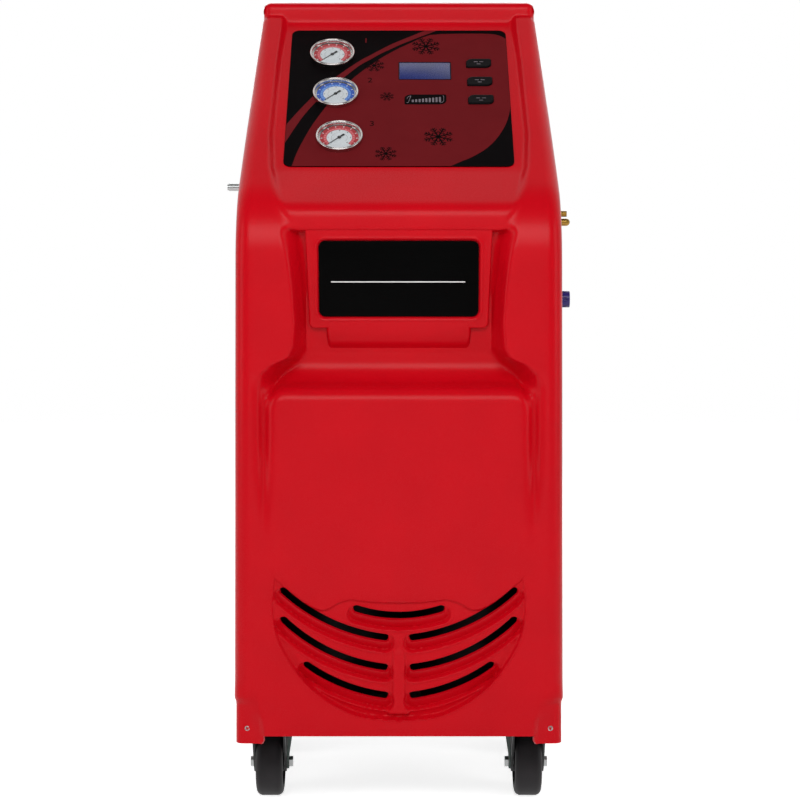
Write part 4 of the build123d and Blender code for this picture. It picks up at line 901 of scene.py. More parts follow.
def face_out(piece):
    """Merges doubles and turns every face of a closed mesh outwards."""
    work = bmesh.new()
    work.from_mesh(piece.data)
    bmesh.ops.remove_doubles(work, verts=work.verts, dist=1e-6)
    bmesh.ops.recalc_face_normals(work, faces=work.faces)
    work.to_mesh(piece.data)
    work.free()


def printed(name, outlines, low, high, material, place=None, holes=()):
    """Flat ink or sheet cut to closed outlines, as thick as it is raised, with the same holes in each."""
    points, faces = [], []
    for outline in outlines:
        loops = [outline] + list(holes)
        base, count = len(points), sum(len(loop) for loop in loops)
        flat = [(x, y) for loop in loops for x, y in loop]
        points += [(x, y, high) for x, y in flat] + [(x, y, low) for x, y in flat]
        for a, b, c in tessellate_polygon([[Vector((x, y, 0)) for x, y in loop] for loop in loops]):
            faces += [(base + a, base + b, base + c), (base + count + c, base + count + b, base + count + a)]
        for loop in loops:
            size = len(loop)
            faces += [(base + k, base + (k + 1) % size, base + count + (k + 1) % size, base + count + k)
                      for k in range(size)]
            base += size
    points = np.array(points)
    piece = mesh_piece(name, place(points) if place else points, faces, material)
    face_out(piece)
    return piece


def clipped(outline, window):
    """The part of an outline inside a convex window, both anticlockwise."""
    kept = [np.array(p, float) for p in outline]
    for a, b in zip(window, np.roll(window, -1, axis=0)):
        edge = b - a
        if np.linalg.norm(edge) < 1e-6:
            continue
        side = [edge[0] * (p[1] - a[1]) - edge[1] * (p[0] - a[0]) for p in kept]
        out = []
        for k, here in enumerate(kept):
            then = kept[(k + 1) % len(kept)]
            s0, s1 = side[k], side[(k + 1) % len(kept)]
            if s0 >= 0:
                out.append(here)
            if (s0 >= 0) != (s1 >= 0):
                out.append(here + (then - here) * s0 / (s0 - s1))
        kept = out
    return np.array(kept)


def turned(name, profile, material, count=64, place=None, angle=35.0):
    """Solid of revolution round the third axis from (radius, height) points, closed at its poles."""
    angles = np.linspace(0, 2 * math.pi, count, endpoint=False)
    circle = np.column_stack([np.cos(angles), np.sin(angles)])
    rings = [lifted(circle * radius, height) for radius, height in profile]
    return ring_solid(name, rings, material, place, angle)


# Type size that gives a figure its height
FIGURE_EM = 1.4


def lettered(name, words, low, high, material, place=None):
    """Plain figures as one mesh, from (text, size, centre) entries in millimetres."""
    points, faces = [], []
    for text, size, centre in words:
        curve = bpy.data.curves.new("figure", "FONT")
        curve.body = text
        curve.align_x, curve.align_y = "CENTER", "CENTER"
        curve.size = size * FIGURE_EM
        curve.extrude = (high - low) / 2
        curve.resolution_u = 4
        holder = bpy.data.objects.new("figure", curve)
        bpy.context.scene.collection.objects.link(holder)
        mesh = bpy.data.meshes.new_from_object(holder.evaluated_get(bpy.context.evaluated_depsgraph_get()))
        base = len(points)
        points += [(v.co.x + centre[0], v.co.y + centre[1], v.co.z + (low + high) / 2)
                   for v in mesh.vertices]
        faces += [tuple(base + i for i in p.vertices) for p in mesh.polygons]
        bpy.data.objects.remove(holder)
        bpy.data.curves.remove(curve)
        bpy.data.meshes.remove(mesh)
    points = np.array(points)
    return mesh_piece(name, place(points) if place else points, faces, material)


def start_tree(name, inputs):
    """A Geometry Nodes tree with named inputs, and the sockets that carry them."""
    tree = bpy.data.node_groups.new(name, "GeometryNodeTree")
    tree.interface.new_socket("Geometry", in_out="INPUT", socket_type="NodeSocketGeometry")
    for label, kind in inputs:
        tree.interface.new_socket(label, in_out="INPUT", socket_type="NodeSocket" + kind)
    tree.interface.new_socket("Geometry", in_out="OUTPUT", socket_type="NodeSocketGeometry")
    return tree, add_node(tree, "NodeGroupInput").outputs


def end_tree(tree, geometry, finish):
    """Ends a tree with real copies in one finish."""
    real = add_node(tree, "GeometryNodeRealizeInstances", {"Geometry": geometry}).outputs[0]
    painted = add_node(tree, "GeometryNodeSetMaterial", {"Geometry": real, "Material": finish}).outputs[0]
    add_node(tree, "NodeGroupOutput", {"Geometry": painted})


def bars_on_arc():
    """Upright bars set radially on an arc, as dial marks and grips are."""
    tree, given = start_tree("Bars on an arc", [
        ("Count", "Int"), ("Radius", "Float"), ("First angle", "Float"), ("Angle step", "Float"),
        ("Bar", "Vector"), ("Finish", "Material")])
    points = add_node(tree, "GeometryNodePoints", {"Count": given["Count"]}).outputs[0]
    index = add_node(tree, "GeometryNodeInputIndex").outputs[0]
    run = scalar(tree, "MULTIPLY", index, given["Angle step"])
    angle = scalar(tree, "ADD", run, given["First angle"])
    place = []
    for turn in ("COSINE", "SINE"):
        wave = scalar(tree, turn, angle)
        place.append(scalar(tree, "MULTIPLY", wave, given["Radius"]))
    spot = add_node(tree, "ShaderNodeCombineXYZ", {"X": place[0], "Y": place[1]}).outputs[0]
    spread_out = add_node(tree, "GeometryNodeSetPosition", {"Geometry": points, "Position": spot}).outputs[0]
    bar = add_node(tree, "GeometryNodeMeshCube", {"Size": given["Bar"]}).outputs[0]
    lean = add_node(tree, "ShaderNodeCombineXYZ", {"Z": angle}).outputs[0]
    copies = add_node(tree, "GeometryNodeInstanceOnPoints",
                      {"Points": spread_out, "Instance": bar, "Rotation": lean}).outputs[0]
    end_tree(tree, copies, given["Finish"])
    return tree


def units_in_row():
    """Copies of one unit in a straight row, each grown by the same step."""
    tree, given = start_tree("Units in a row", [
        ("Unit", "Object"), ("Count", "Int"), ("Step", "Vector"), ("Growth", "Vector"),
        ("Finish", "Material")])
    unit = add_node(tree, "GeometryNodeObjectInfo", {"Object": given["Unit"]}).outputs["Geometry"]
    points = add_node(tree, "GeometryNodePoints", {"Count": given["Count"]}).outputs[0]
    index = add_node(tree, "GeometryNodeInputIndex").outputs[0]
    run = add_node(tree, "ShaderNodeVectorMath", {0: given["Step"], "Scale": index},
                   operation="SCALE").outputs[0]
    row = add_node(tree, "GeometryNodeSetPosition", {"Geometry": points, "Position": run}).outputs[0]
    more = add_node(tree, "ShaderNodeVectorMath", {0: given["Growth"], "Scale": index},
                    operation="SCALE").outputs[0]
    size = add_node(tree, "ShaderNodeVectorMath", {0: more, 1: (1.0, 1.0, 1.0)}, operation="ADD").outputs[0]
    copies = add_node(tree, "GeometryNodeInstanceOnPoints",
                      {"Points": row, "Instance": unit, "Scale": size}).outputs[0]
    end_tree(tree, copies, given["Finish"])
    return tree


def units_at_points():
    """Rings of one unit set on points that carry their own turn and size."""
    tree, given = start_tree("Units at points", [
        ("Unit", "Object"), ("Around", "Int"), ("First angle", "Float"), ("Finish", "Material")])
    unit = add_node(tree, "GeometryNodeObjectInfo", {"Object": given["Unit"]}).outputs["Geometry"]
    spokes = add_node(tree, "GeometryNodePoints", {"Count": given["Around"]}).outputs[0]
    index = add_node(tree, "GeometryNodeInputIndex").outputs[0]
    share = scalar(tree, "DIVIDE", 2 * math.pi, given["Around"])
    run = scalar(tree, "MULTIPLY", index, share)
    angle = scalar(tree, "ADD", run, given["First angle"])
    lean = add_node(tree, "ShaderNodeCombineXYZ", {"Z": angle}).outputs[0]
    ring = add_node(tree, "GeometryNodeInstanceOnPoints",
                    {"Points": spokes, "Instance": unit, "Rotation": lean}).outputs[0]
    whole = add_node(tree, "GeometryNodeRealizeInstances", {"Geometry": ring}).outputs[0]
    turn = add_node(tree, "GeometryNodeInputNamedAttribute", {"Name": "turn"},
                    data_type="FLOAT_VECTOR").outputs[0]
    size = add_node(tree, "GeometryNodeInputNamedAttribute", {"Name": "size"}, data_type="FLOAT").outputs[0]
    copies = add_node(tree, "GeometryNodeInstanceOnPoints", {
        "Points": given["Geometry"], "Instance": whole, "Rotation": turn, "Scale": size}).outputs[0]
    end_tree(tree, copies, given["Finish"])
    return tree


def run_tree(name, build, places=None, **values):
    """Evaluates a tree into a plain mesh. Places are (position in mm, turn, size) entries."""
    mesh = bpy.data.meshes.new(name)
    spots = places or [((0.0, 0.0, 0.0), (0.0, 0.0, 0.0), 1.0)]
    mesh.from_pydata([tuple(c * MM for c in spot[0]) for spot in spots], [], [])
    turn = mesh.attributes.new("turn", "FLOAT_VECTOR", "POINT")
    turn.data.foreach_set("vector", [c for spot in spots for c in spot[1]])
    size = mesh.attributes.new("size", "FLOAT", "POINT")
    size.data.foreach_set("value", [float(spot[2]) for spot in spots])
    piece = bpy.data.objects.new(name, mesh)
    bpy.context.scene.collection.objects.link(piece)
    tree = bpy.data.node_groups.get(TREE_NAMES[build]) or build()
    modifier = piece.modifiers.new(tree.name, "NODES")
    modifier.node_group = tree
    labels = {item.name: item.identifier for item in tree.interface.items_tree if item.in_out == "INPUT"}
    for key, value in values.items():
        modifier[labels[key.replace("_", " ")]] = value
    apply_modifiers(piece)
    unit = values.get("Unit")
    if unit:
        bpy.data.objects.remove(unit)
    return piece


TREE_NAMES = {bars_on_arc: "Bars on an arc", units_in_row: "Units in a row",
              units_at_points: "Units at points"}


def moved(piece, place):
    """Sets a piece that was built flat, in metres, onto the plane that place gives."""
    count = len(piece.data.vertices)
    flat = np.zeros(count * 3)
    piece.data.vertices.foreach_get("co", flat)
    piece.data.vertices.foreach_set("co", (place(flat.reshape(-1, 3) / MM) * MM).ravel())
    piece.data.update()
    return piece


def joined(name, pieces):
    """One mesh from several of the same finish."""
    work = bmesh.new()
    for piece in pieces:
        work.from_mesh(piece.data)
    mesh = bpy.data.meshes.new(name)
    work.to_mesh(mesh)
    work.free()
    mesh.materials.append(pieces[0].data.materials[0])
    for piece in pieces:
        bpy.data.objects.remove(piece)
    whole = bpy.data.objects.new(name, mesh)
    bpy.context.scene.collection.objects.link(whole)
    return whole


# The sign's surround: its corners, then (inset, height) and (grown, height) of its outer and inner rings
SURROUND_CORNERS = [(-127.0, -70.5), (127.0, -70.5), (132.0, 72.0), (-132.0, 72.0)]
SURROUND_OUTSIDE = [(0.0, -30.0), (0.0, -2.2), (0.3, -1.1), (0.9, -0.4), (1.8, 0.0), (3.0, 0.1)]
SURROUND_RIM = [(7.6, 0.1), (6.4, 0.5), (5.2, 0.9), (4.0, 0.6), (2.6, -0.7), (1.2, -2.4), (0.5, -4.0),
                (0.5, -4.6)]
SIGN_EDGE = [(0.0, -4.5), (0.0, -2.5), (0.2, -2.1), (0.7, -1.9)]
LIP_FRONT = [(43.0, 722.0), (44.6, 708.0), (47.5, 697.0), (53.0, 686.0), (60.5, 677.5)]
LIP_HALF = 103.0
LIP_CORNER = 6.0


class MACHINE_OT_sign(bpy.types.Operator):
    """Makes the raised surround, its lip, the bare black sign and the fine white rule"""
    bl_idname = "machine.sign"
    bl_label = "Sign and surround"

    def execute(self, context):
        def outer(inset):
            shift = [(inset, inset), (-inset, inset), (-inset, -inset), (inset, -inset)]
            moved_in = [(x + dx, y + dy) for (x, y), (dx, dy) in zip(SURROUND_CORNERS, shift)]
            return rounded_outline(moved_in, [max(8.0 - inset, 2.0)] * 2 + [2.0] * 2)

        def inner(grow):
            return box_outline(SIGN_SIZE[0] + 2 * grow, SIGN_SIZE[1] + 2 * grow, 9.0 + grow)

        rings = [lifted(outer(inset), height) for inset, height in SURROUND_OUTSIDE]
        rings += [lifted(inner(grow), height) for grow, height in SURROUND_RIM]
        surround = ring_solid("sign_surround", rings, MATERIALS["casing_plastic"], on_sign)
        hand_over(surround, "casing_plastic", "front_shell")

        bend = [math.radians(a) for a in np.linspace(0, 90, 7)]
        run = [LIP_HALF - LIP_CORNER + LIP_CORNER * math.sin(a) for a in bend]
        drop = [LIP_CORNER * (1 - math.cos(a)) for a in bend]
        across = [-x for x in run[::-1]] + run
        back = drop[::-1] + drop
        front = spline_through(LIP_FRONT, 40)
        rings = []
        for depth, height in list(front) + [(62.5, 676.2)]:
            narrow = 1 - 2.0 * smooth(705.0 - height, 0.0, 30.0) / LIP_HALF
            ring = [(x * narrow, FRONT + depth + b, height) for x, b in zip(across, back)]
            ring += [(x * narrow, FRONT + 92.0, height) for x in (across[-1], across[0])]
            rings.append(np.array(ring))
        lip = ring_solid("sign_lip", rings, MATERIALS["casing_plastic"], None, 50.0)
        hand_over(lip, "casing_plastic", "front_shell")

        rings = [lifted(inner(-inset), height) for inset, height in SIGN_EDGE]
        plate = ring_solid("sign_face", rings, MATERIALS["sign_black"], on_sign)
        hand_over(plate, "sign_black", "sign_plate")
        rule = printed("sign_rule", [box_outline(190.0, 1.5, 0.3, (-1.0, -4.2))], -1.95, -1.8,
                       MATERIALS["sign_white"], on_sign)
        hand_over(rule, "sign_black")
        return {"FINISHED"}


RED_FIELD_EDGE = [(75.0, 172.0), (49.0, 157.5), (33.0, 148.0), (17.5, 135.5), (1.9, 123.3),
                  (-13.6, 109.7), (-29.0, 94.4), (-44.3, 76.6), (-59.4, 58.0), (-76.0, 34.0),
                  (-96.0, 0.0), (-113.0, -36.0), (-128.0, -72.0), (-140.0, -108.0), (-149.0, -140.0),
                  (-156.0, -176.0)]
STRIPE_TOP = [(49.1, 174.0), (33.3, 164.2), (17.6, 153.4), (1.9, 142.6), (-13.7, 131.0), (-29.2, 117.4),
              (-44.6, 103.4), (-59.9, 89.4), (-84.0, 62.0), (-104.0, 36.0), (-127.0, 2.0),
              (-148.0, -34.8), (-168.0, -74.0)]
STRIPE_FOOT = [(66.0, 174.0), (49.0, 162.6), (33.2, 152.6), (17.5, 142.0), (1.9, 131.3), (-13.7, 119.0),
               (-29.1, 106.6), (-44.5, 91.8), (-59.7, 77.4), (-80.0, 51.0), (-104.0, 18.0),
               (-128.0, -22.0), (-147.0, -62.0), (-168.0, -118.0)]
SHOULDER_EDGE = [(66.0, 160.2), (105.0, 161.2), (140.0, 160.6), (154.0, 157.5), (163.0, 151.5),
                 (168.0, 144.0)]
CORNER_EDGE = [(168.5, -13.0), (165.0, -44.0), (157.5, -74.0), (143.5, -106.0), (126.0, -131.0),
               (105.5, -149.5), (90.0, -159.5), (72.0, -172.0)]
# Rings of the display's pane and frame: width, height, corner radius and lift
DISPLAY_PANE = [(77.6, 42.6, 1.0, -1.0), (77.6, 42.6, 1.0, 1.7), (77.2, 42.2, 0.8, 1.8)]
DISPLAY_FRAME = [(80.6, 45.6, 1.8, 1.4), (80.6, 45.6, 1.8, 1.9), (80.0, 45.0, 1.6, 2.1),
                 (78.4, 43.4, 1.2, 2.1), (77.6, 42.6, 1.0, 1.2)]
SNOWFLAKES = [((42.0, 127.0), 24.0), ((-38.0, 76.5), 17.0), ((-18.0, -2.6), 11.5), ((58.0, -101.0), 23.5),
              ((-19.0, -141.0), 17.5)]
FLAKE_RADIUS = 10.0


def panel_ink(name, outlines, low, high, ink, holes=()):
    """Prints outlines on the control panel, between two heights over its face."""
    piece = printed(name, outlines, PANEL_FACE + low, PANEL_FACE + high, MATERIALS[ink], on_panel, holes)
    hand_over(piece, "panel_print")


class MACHINE_OT_overlay(bpy.types.Operator):
    """Prints the control panel's fields, stripes, snowflakes, figures and bar mark"""
    bl_idname = "machine.overlay"
    bl_label = "Control panel overlay"

    def execute(self, context):
        sizes = context.scene.machine_sizes
        window = box_outline(PLATE[0] - 1.0, PLATE[1] - 1.0, PLATE[2] - 0.5)
        left = spline_through(RED_FIELD_EDGE, 120)[::-1]
        near = left[left[:, 1] < 158.5]
        right = spline_through(SHOULDER_EDGE, 40)
        corner = spline_through(CORNER_EDGE, 60)
        field = np.vstack([near, right, corner, [(60.0, -180.0)]])[::-1]
        holes = [leaf_outline(39.2, 23.2, 2.8, 9.4, place) for place in KEYS.values()]
        holes.append(box_outline(77.8, 42.8, 1.0, DISPLAY))
        panel_ink("panel_red_field", [clipped(oriented(field), window)], -0.2, 0.12, "panel_red", holes)
        band = np.vstack([spline_through(STRIPE_TOP, 120), spline_through(STRIPE_FOOT, 120)[::-1]])
        panel_ink("panel_stripe", [clipped(oriented(band), window)], -0.2, 0.12, "panel_stripe")

        unit = printed("flake_arm", flake_arm(), 0.0, 0.12, MATERIALS["panel_black"])
        places = [((*spot, PANEL_FACE + 0.1), (0.0, 0.0, 0.0), radius / FLAKE_RADIUS) for spot,
                  radius in SNOWFLAKES]
        flakes = run_tree("snowflakes", units_at_points, places, Unit=unit, Around=sizes.flake_arms,
                          First_angle=math.radians(22.5), Finish=MATERIALS["panel_black"])
        level = np.array([v.co.z / MM for v in flakes.data.vertices])
        level = np.clip(level, PANEL_FACE + 0.1, PANEL_FACE + 0.24)
        moved(flakes, lambda p: on_panel(np.column_stack([p[:, :2], level])))
        hand_over(flakes, "panel_print")

        figures = lettered("gauge_figures", [("2", 12.0, (-44.0, 38.0)), ("3", 12.0, (-40.0, -70.0))],
                           PANEL_FACE + 0.1, PANEL_FACE + 0.26, MATERIALS["panel_black"], on_panel)
        hand_over(figures, "panel_print")
        figure = lettered("top_gauge_figure", [("1", 12.0, (-51.5, 142.0))], PANEL_FACE - 0.1,
                          PANEL_FACE + 0.16, MATERIALS["panel_stripe"], on_panel)
        hand_over(figure, "panel_print")

        middle = (40.0, -10.2)
        panel_ink("level_badge", [leaf_outline(63.0, 24.5, 2.5, 10.0, middle)], 0.1, 0.3, "panel_black")
        unit = printed("level_bar", [box_outline(3.0, 6.0, 0.4, (0.0, 3.0))], 0.0, 0.12,
                       MATERIALS["badge_grey"])
        bars = run_tree("level_bars", units_in_row, Unit=unit, Count=9, Step=(5.1 * MM, 0.0, 0.0),
                        Growth=(0.0, 0.14, 0.0), Finish=MATERIALS["badge_grey"])
        moved(bars, lambda p: on_panel(p + [middle[0] - 19.0, middle[1] - 6.8, PANEL_FACE + 0.28]))
        hand_over(bars, "panel_print")
        ends = []
        for side in (-1, 1):
            arc = leaf_outline(56.0, 18.5, 1.5, 7.5)
            wide = arc[arc[:, 0] * side > 20.5]
            inner = wide * [0.972, 0.93]
            ends.append(np.vstack([wide, inner[::-1]]) + middle)
        panel_ink("badge_outline", ends, 0.28, 0.4, "badge_grey")

        pane, edge = ([lifted(box_outline(w, h, r, DISPLAY), lift) for w, h, r, lift in rings]
                      for rings in (DISPLAY_PANE, DISPLAY_FRAME))
        piece = ring_solid("display_pane", pane, MATERIALS["display_glass"], on_panel)
        hand_over(piece, "display_glass", "display_window")
        piece = ring_solid("display_frame", edge, MATERIALS["key_black"], on_panel, 30.0, True)
        hand_over(piece, "black_plastic")
        return {"FINISHED"}


def oriented(outline):
    """The outline taken anticlockwise."""
    x, y = outline[:, 0], outline[:, 1]
    area = np.sum(x * np.roll(y, -1) - np.roll(x, -1) * y)
    return outline if area > 0 else outline[::-1]


def flake_arm():
    """One arm of a snowflake 10 mm in radius: a tapering stem with three pairs of twigs."""
    stem = [(0.0, -0.55), (8.6, -0.32), (10.0, 0.0), (8.6, 0.32), (0.0, 0.55)]
    outlines = [np.array(stem)]
    for start, length in ((3.4, 2.3), (5.6, 2.9), (7.6, 2.0)):
        for side in (-1, 1):
            lean = math.radians(48.0) * side
            along_twig = np.array([math.cos(lean), math.sin(lean)])
            across_twig = np.array([-along_twig[1], along_twig[0]]) * 0.34
            root = np.array([start, 0.0])
            tip = root + along_twig * length
            outlines.append(oriented(np.array([root - across_twig, tip - across_twig, tip + across_twig,
                                               root + across_twig])))
    return outlines


BEZEL_INSIDE = [(31.0, 8.3), (30.6, 7.2), (30.55, 3.0), (28.6, 2.95), (28.6, -26.0), (0.001, -26.0)]
BEZEL_OUTSIDE = [(0.001, -28.0), (28.6, -28.0), (30.0, -26.6), (30.0, 1.5), (33.8, 1.5), (34.5, 2.2)]


def dial_bars(name, place, ink, count, radius, first, sweep, bar, lift):
    """Bars of one size set evenly over part of a dial."""
    bars = run_tree(name, bars_on_arc, Count=count, Radius=radius * MM, First_angle=math.radians(first),
                    Angle_step=math.radians(sweep / (count - 1)), Bar=tuple(c * MM for c in bar),
                    Finish=MATERIALS[ink])
    return moved(bars, lambda p: place(p + [0.0, 0.0, DIAL_FACE + lift]))


def make_gauge(name, spot, mark_count):
    """One gauge at its spot on the panel; the middle one is printed in blue."""
    def at(points):
        return on_panel(points + [*spot, 0.0])

    roll = [math.radians(a) for a in range(90, -91, -15)]
    arc = [(33.0 + 1.5 * math.sin(a), 7.4 + 1.6 * math.cos(a)) for a in roll]
    profile = BEZEL_OUTSIDE + arc + BEZEL_INSIDE
    bezel = turned(name + "_bezel", profile, MATERIALS["chrome_bezel"], 96, at, 30.0)
    hand_over(bezel, "chrome_bezel", name + "_gauge_case")

    ink = "blue" if name == "middle" else "red"
    sector = [math.radians(a) for a in np.linspace(DIAL_START, DIAL_START + DIAL_SWEEP, 73)]
    for label, inner, outer, low, high, tint in (
            ("_dial_band", 18.8, 29.9, -0.1, 0.08, "dial_" + ink),
            ("_dial_track", 19.6, 23.0, 0.05, 0.12, "dial_pale_" + ink)):
        sheet = arc_band(sector, inner, outer)
        piece = printed(name + label, [sheet], DIAL_FACE + low, DIAL_FACE + high, MATERIALS[tint], at)
        hand_over(piece, "dial_white")
    marks = dial_bars(name + "_dial_marks", at, "dial_" + ink, mark_count, 21.3, DIAL_START, DIAL_SWEEP,
                      (2.2, 0.9, 0.1), 0.12)
    hand_over(marks, "dial_white")
    ticks = dial_bars(name + "_dial_ticks", at, "dial_white", 10, 26.2, -30.0, 240.0, (2.6, 1.5, 0.1), 0.1)
    hand_over(ticks, "dial_white")
    words = []
    for k in range(7):
        a = math.radians(DIAL_START + DIAL_SWEEP - 45.0 * k)
        words.append((str(k), 3.4, (16.6 * math.cos(a), 16.6 * math.sin(a))))
    figures = lettered(name + "_dial_figures", words, DIAL_FACE - 0.05, DIAL_FACE + 0.08,
                       MATERIALS["dial_black"], at)
    strokes = dial_bars(name + "_dial_strokes", at, "dial_black", 25, 11.8, DIAL_START, DIAL_SWEEP,
                        (1.1, 0.3, 0.12), 0.04)
    hand_over(joined(name + "_dial_print", [figures, strokes]), "dial_white")

    dome = [(0.001, LENS_SEAT), (LENS_RADIUS, LENS_SEAT), (LENS_RADIUS, LENS_SEAT + 1.0)]
    dome += [(LENS_RADIUS * s, LENS_SEAT + 1.0 + 0.9 * (1 - s * s))
             for s in (0.9, 0.75, 0.6, 0.45, 0.3, 0.15, 0.0001)]
    lens = turned(name + "_lens", dome, MATERIALS["lens_clear"], 72, at, 40.0)
    hand_over(lens, "lens_clear", name + "_gauge_lens")
    hand_over(pointer_mesh(name, at), "needle_black", name + "_gauge_needle", body=name + "_needle")


class MACHINE_OT_gauges(bpy.types.Operator):
    """Makes the three gauges: rolled bezels, printed dials, marks, figures, pointers and domed lenses"""
    bl_idname = "machine.gauges"
    bl_label = "Pressure gauges"

    def execute(self, context):
        for name, spot in GAUGES.items():
            make_gauge(name, spot, context.scene.machine_sizes.dial_marks)
        return {"FINISHED"}


def arc_band(angles, inner, outer):
    """Closed outline of a ring sector."""
    rim = [(outer * math.cos(a), outer * math.sin(a)) for a in angles]
    bore = [(inner * math.cos(a), inner * math.sin(a)) for a in angles[::-1]]
    return np.array(rim + bore)


# The pointer's outline along its length, and (radius, height) of its hub
POINTER = [(23.0, 0.0), (22.4, 0.22), (2.6, 0.62), (-2.6, 1.1), (-9.4, 1.9), (-10.0, 1.2), (-10.0, -1.2),
           (-9.4, -1.9), (-2.6, -1.1), (2.6, -0.62), (22.4, -0.22)]
HUB = [(0.001, -14.0), (0.95, -14.0), (0.95, 3.3), (2.8, 3.4), (2.8, 4.1), (2.3, 4.45), (1.2, 4.6),
       (0.001, 4.65)]


def pointer_mesh(name, place):
    """Pointer with a fine tip, a broad counterweight and a domed hub on its staff."""
    a = math.radians(225.0)
    along_it = np.array([math.cos(a), math.sin(a)])
    across_it = np.array([-along_it[1], along_it[0]])
    outline = oriented(np.array([along_it * x + across_it * y for x, y in POINTER]))
    blade = printed("blade", [outline], 3.4, 4.0, MATERIALS["needle_black"], place)
    cap = turned("hub", HUB, MATERIALS["needle_black"], 32, place, 40.0)
    return joined(name + "_pointer", [blade, cap])


# (inset, height) of a key cap's rings, and where its three bars lie from its middle
KEY_CAP = [(0.0, -6.6), (0.0, 2.5), (0.15, 3.0), (0.5, 3.4), (1.1, 3.62), (2.0, 3.7), (4.5, 3.62),
           (7.0, 3.55)]
KEY_BARS = [(-4.4, 2.2), (4.4, 2.2), (0.0, -3.4)]


class MACHINE_OT_keys(bpy.types.Operator):
    """Makes the three leaf shaped keys with their soft edges and small marks"""
    bl_idname = "machine.keys"
    bl_label = "Keys"

    def execute(self, context):
        for name, place in KEYS.items():
            rings = []
            for inset, height in KEY_CAP:
                small, large = max(2.5 - inset * 0.3, 0.6), max(9.0 - inset, 2.0)
                rings.append(lifted(leaf_outline(38.0 - 2 * inset, 22.0 - 2 * inset, small, large, place),
                                    height))
            cap = ring_solid(name + "_key_cap", rings, MATERIALS["key_black"], on_panel, 40.0)
            hand_over(cap, "key_black", name + "_button", body=name + "_key")
            bars = [box_outline(6.0, 1.2, 0.2, np.add(place, shift)) for shift in KEY_BARS]
            mark = printed(name + "_key_mark", bars, 3.64, 3.76, MATERIALS["badge_grey"], on_panel)
            hand_over(mark, "key_black", body=name + "_key")
        return {"FINISHED"}


def islands(node):
    """Loose parts of a CAD node as arrays of points in millimetres."""
    work = bmesh.new()
    work.from_mesh(frame["nodes"][node].data)
    bmesh.ops.remove_doubles(work, verts=work.verts, dist=1e-6)
    left = set(work.verts)
    found = []
    for seed in work.verts:
        if seed not in left:
            continue
        left.remove(seed)
        group, stack = [seed], [seed]
        while stack:
            for edge in stack.pop().link_edges:
                for vertex in edge.verts:
                    if vertex in left:
                        left.remove(vertex)
                        group.append(vertex)
                        stack.append(vertex)
        found.append(np.array([v.co[:] for v in group]) / MM)
    work.free()
    return found


# (radius, height) of the screw's rings and of the black ring's section; the black ring is painted shade for
# the dished recess round each front screw
SCREW = [(2.0, -16.0), (2.0, 0.0), (4.2, 0.0), (4.2, 0.9), (3.9, 1.7), (3.2, 2.3), (2.6, 2.5), (2.0, 2.58),
         (1.3, 2.62), (0.6, 2.64)]
SCREW_HEAD = 2.6
SHADE_RING = [(2.2, -0.4), (5.9, -0.4), (6.1, 0.0), (5.8, 0.35), (4.6, 0.4), (2.2, 0.1)]


def screw_unit():
    """Pan head screw with a cross recess, its head's underside at zero, in millimetres."""
    count, rings = 32, []
    for radius, height in SCREW:
        ring = []
        for k in range(count):
            a = 2 * math.pi * k / count
            away = min(abs(radius * math.cos(a)), abs(radius * math.sin(a)))
            recess = float(smooth(0.75 - away, -0.15, 0.25)) * float(smooth(2.9 - radius, 0.0, 0.7))
            cut = 1.5 * recess if height > 1.0 else 0.0
            ring.append((radius * math.cos(a), radius * math.sin(a), height - cut))
        rings.append(np.array(ring))
    return ring_solid("screw_unit", rings, MATERIALS["zinc_plate"], None, 35.0)


class MACHINE_OT_fasteners(bpy.types.Operator):
    """Sets a pan head screw in every screw place of the casing, with a black ring of painted shade under the
    front ones
    """
    bl_idname = "machine.fasteners"
    bl_label = "Casing screws"

    def execute(self, context):
        places = []
        for points in islands("casing_screws"):
            low, high = points.min(axis=0), points.max(axis=0)
            middle = (low + high) / 2
            front = middle[1] < 0
            seat = low[1] + SCREW_HEAD if front else high[1] - SCREW_HEAD
            turn = (math.radians(90.0 if front else -90.0), 0.0, 0.0)
            places.append(((middle[0], seat, middle[2]), turn, 1.0))
        screws = run_tree("casing_fasteners", units_at_points, places, Unit=screw_unit(), Around=1,
                          First_angle=0.4, Finish=MATERIALS["zinc_plate"])
        hand_over(screws, "zinc_plate", "casing_screws")
        # Black ring under each front screw: painted shade that stands in for the shadow in the screw's dished
        # recess
        shade_ring = turned("washer_unit", SHADE_RING, MATERIALS["black_plastic"], 32)
        places = [place for place in places if place[0][1] < 0]
        shade_rings = run_tree("casing_washers", units_at_points, places, Unit=shade_ring, Around=1,
                           First_angle=0.0, Finish=MATERIALS["black_plastic"])
        hand_over(shade_rings, "black_plastic")
        return {"FINISHED"}


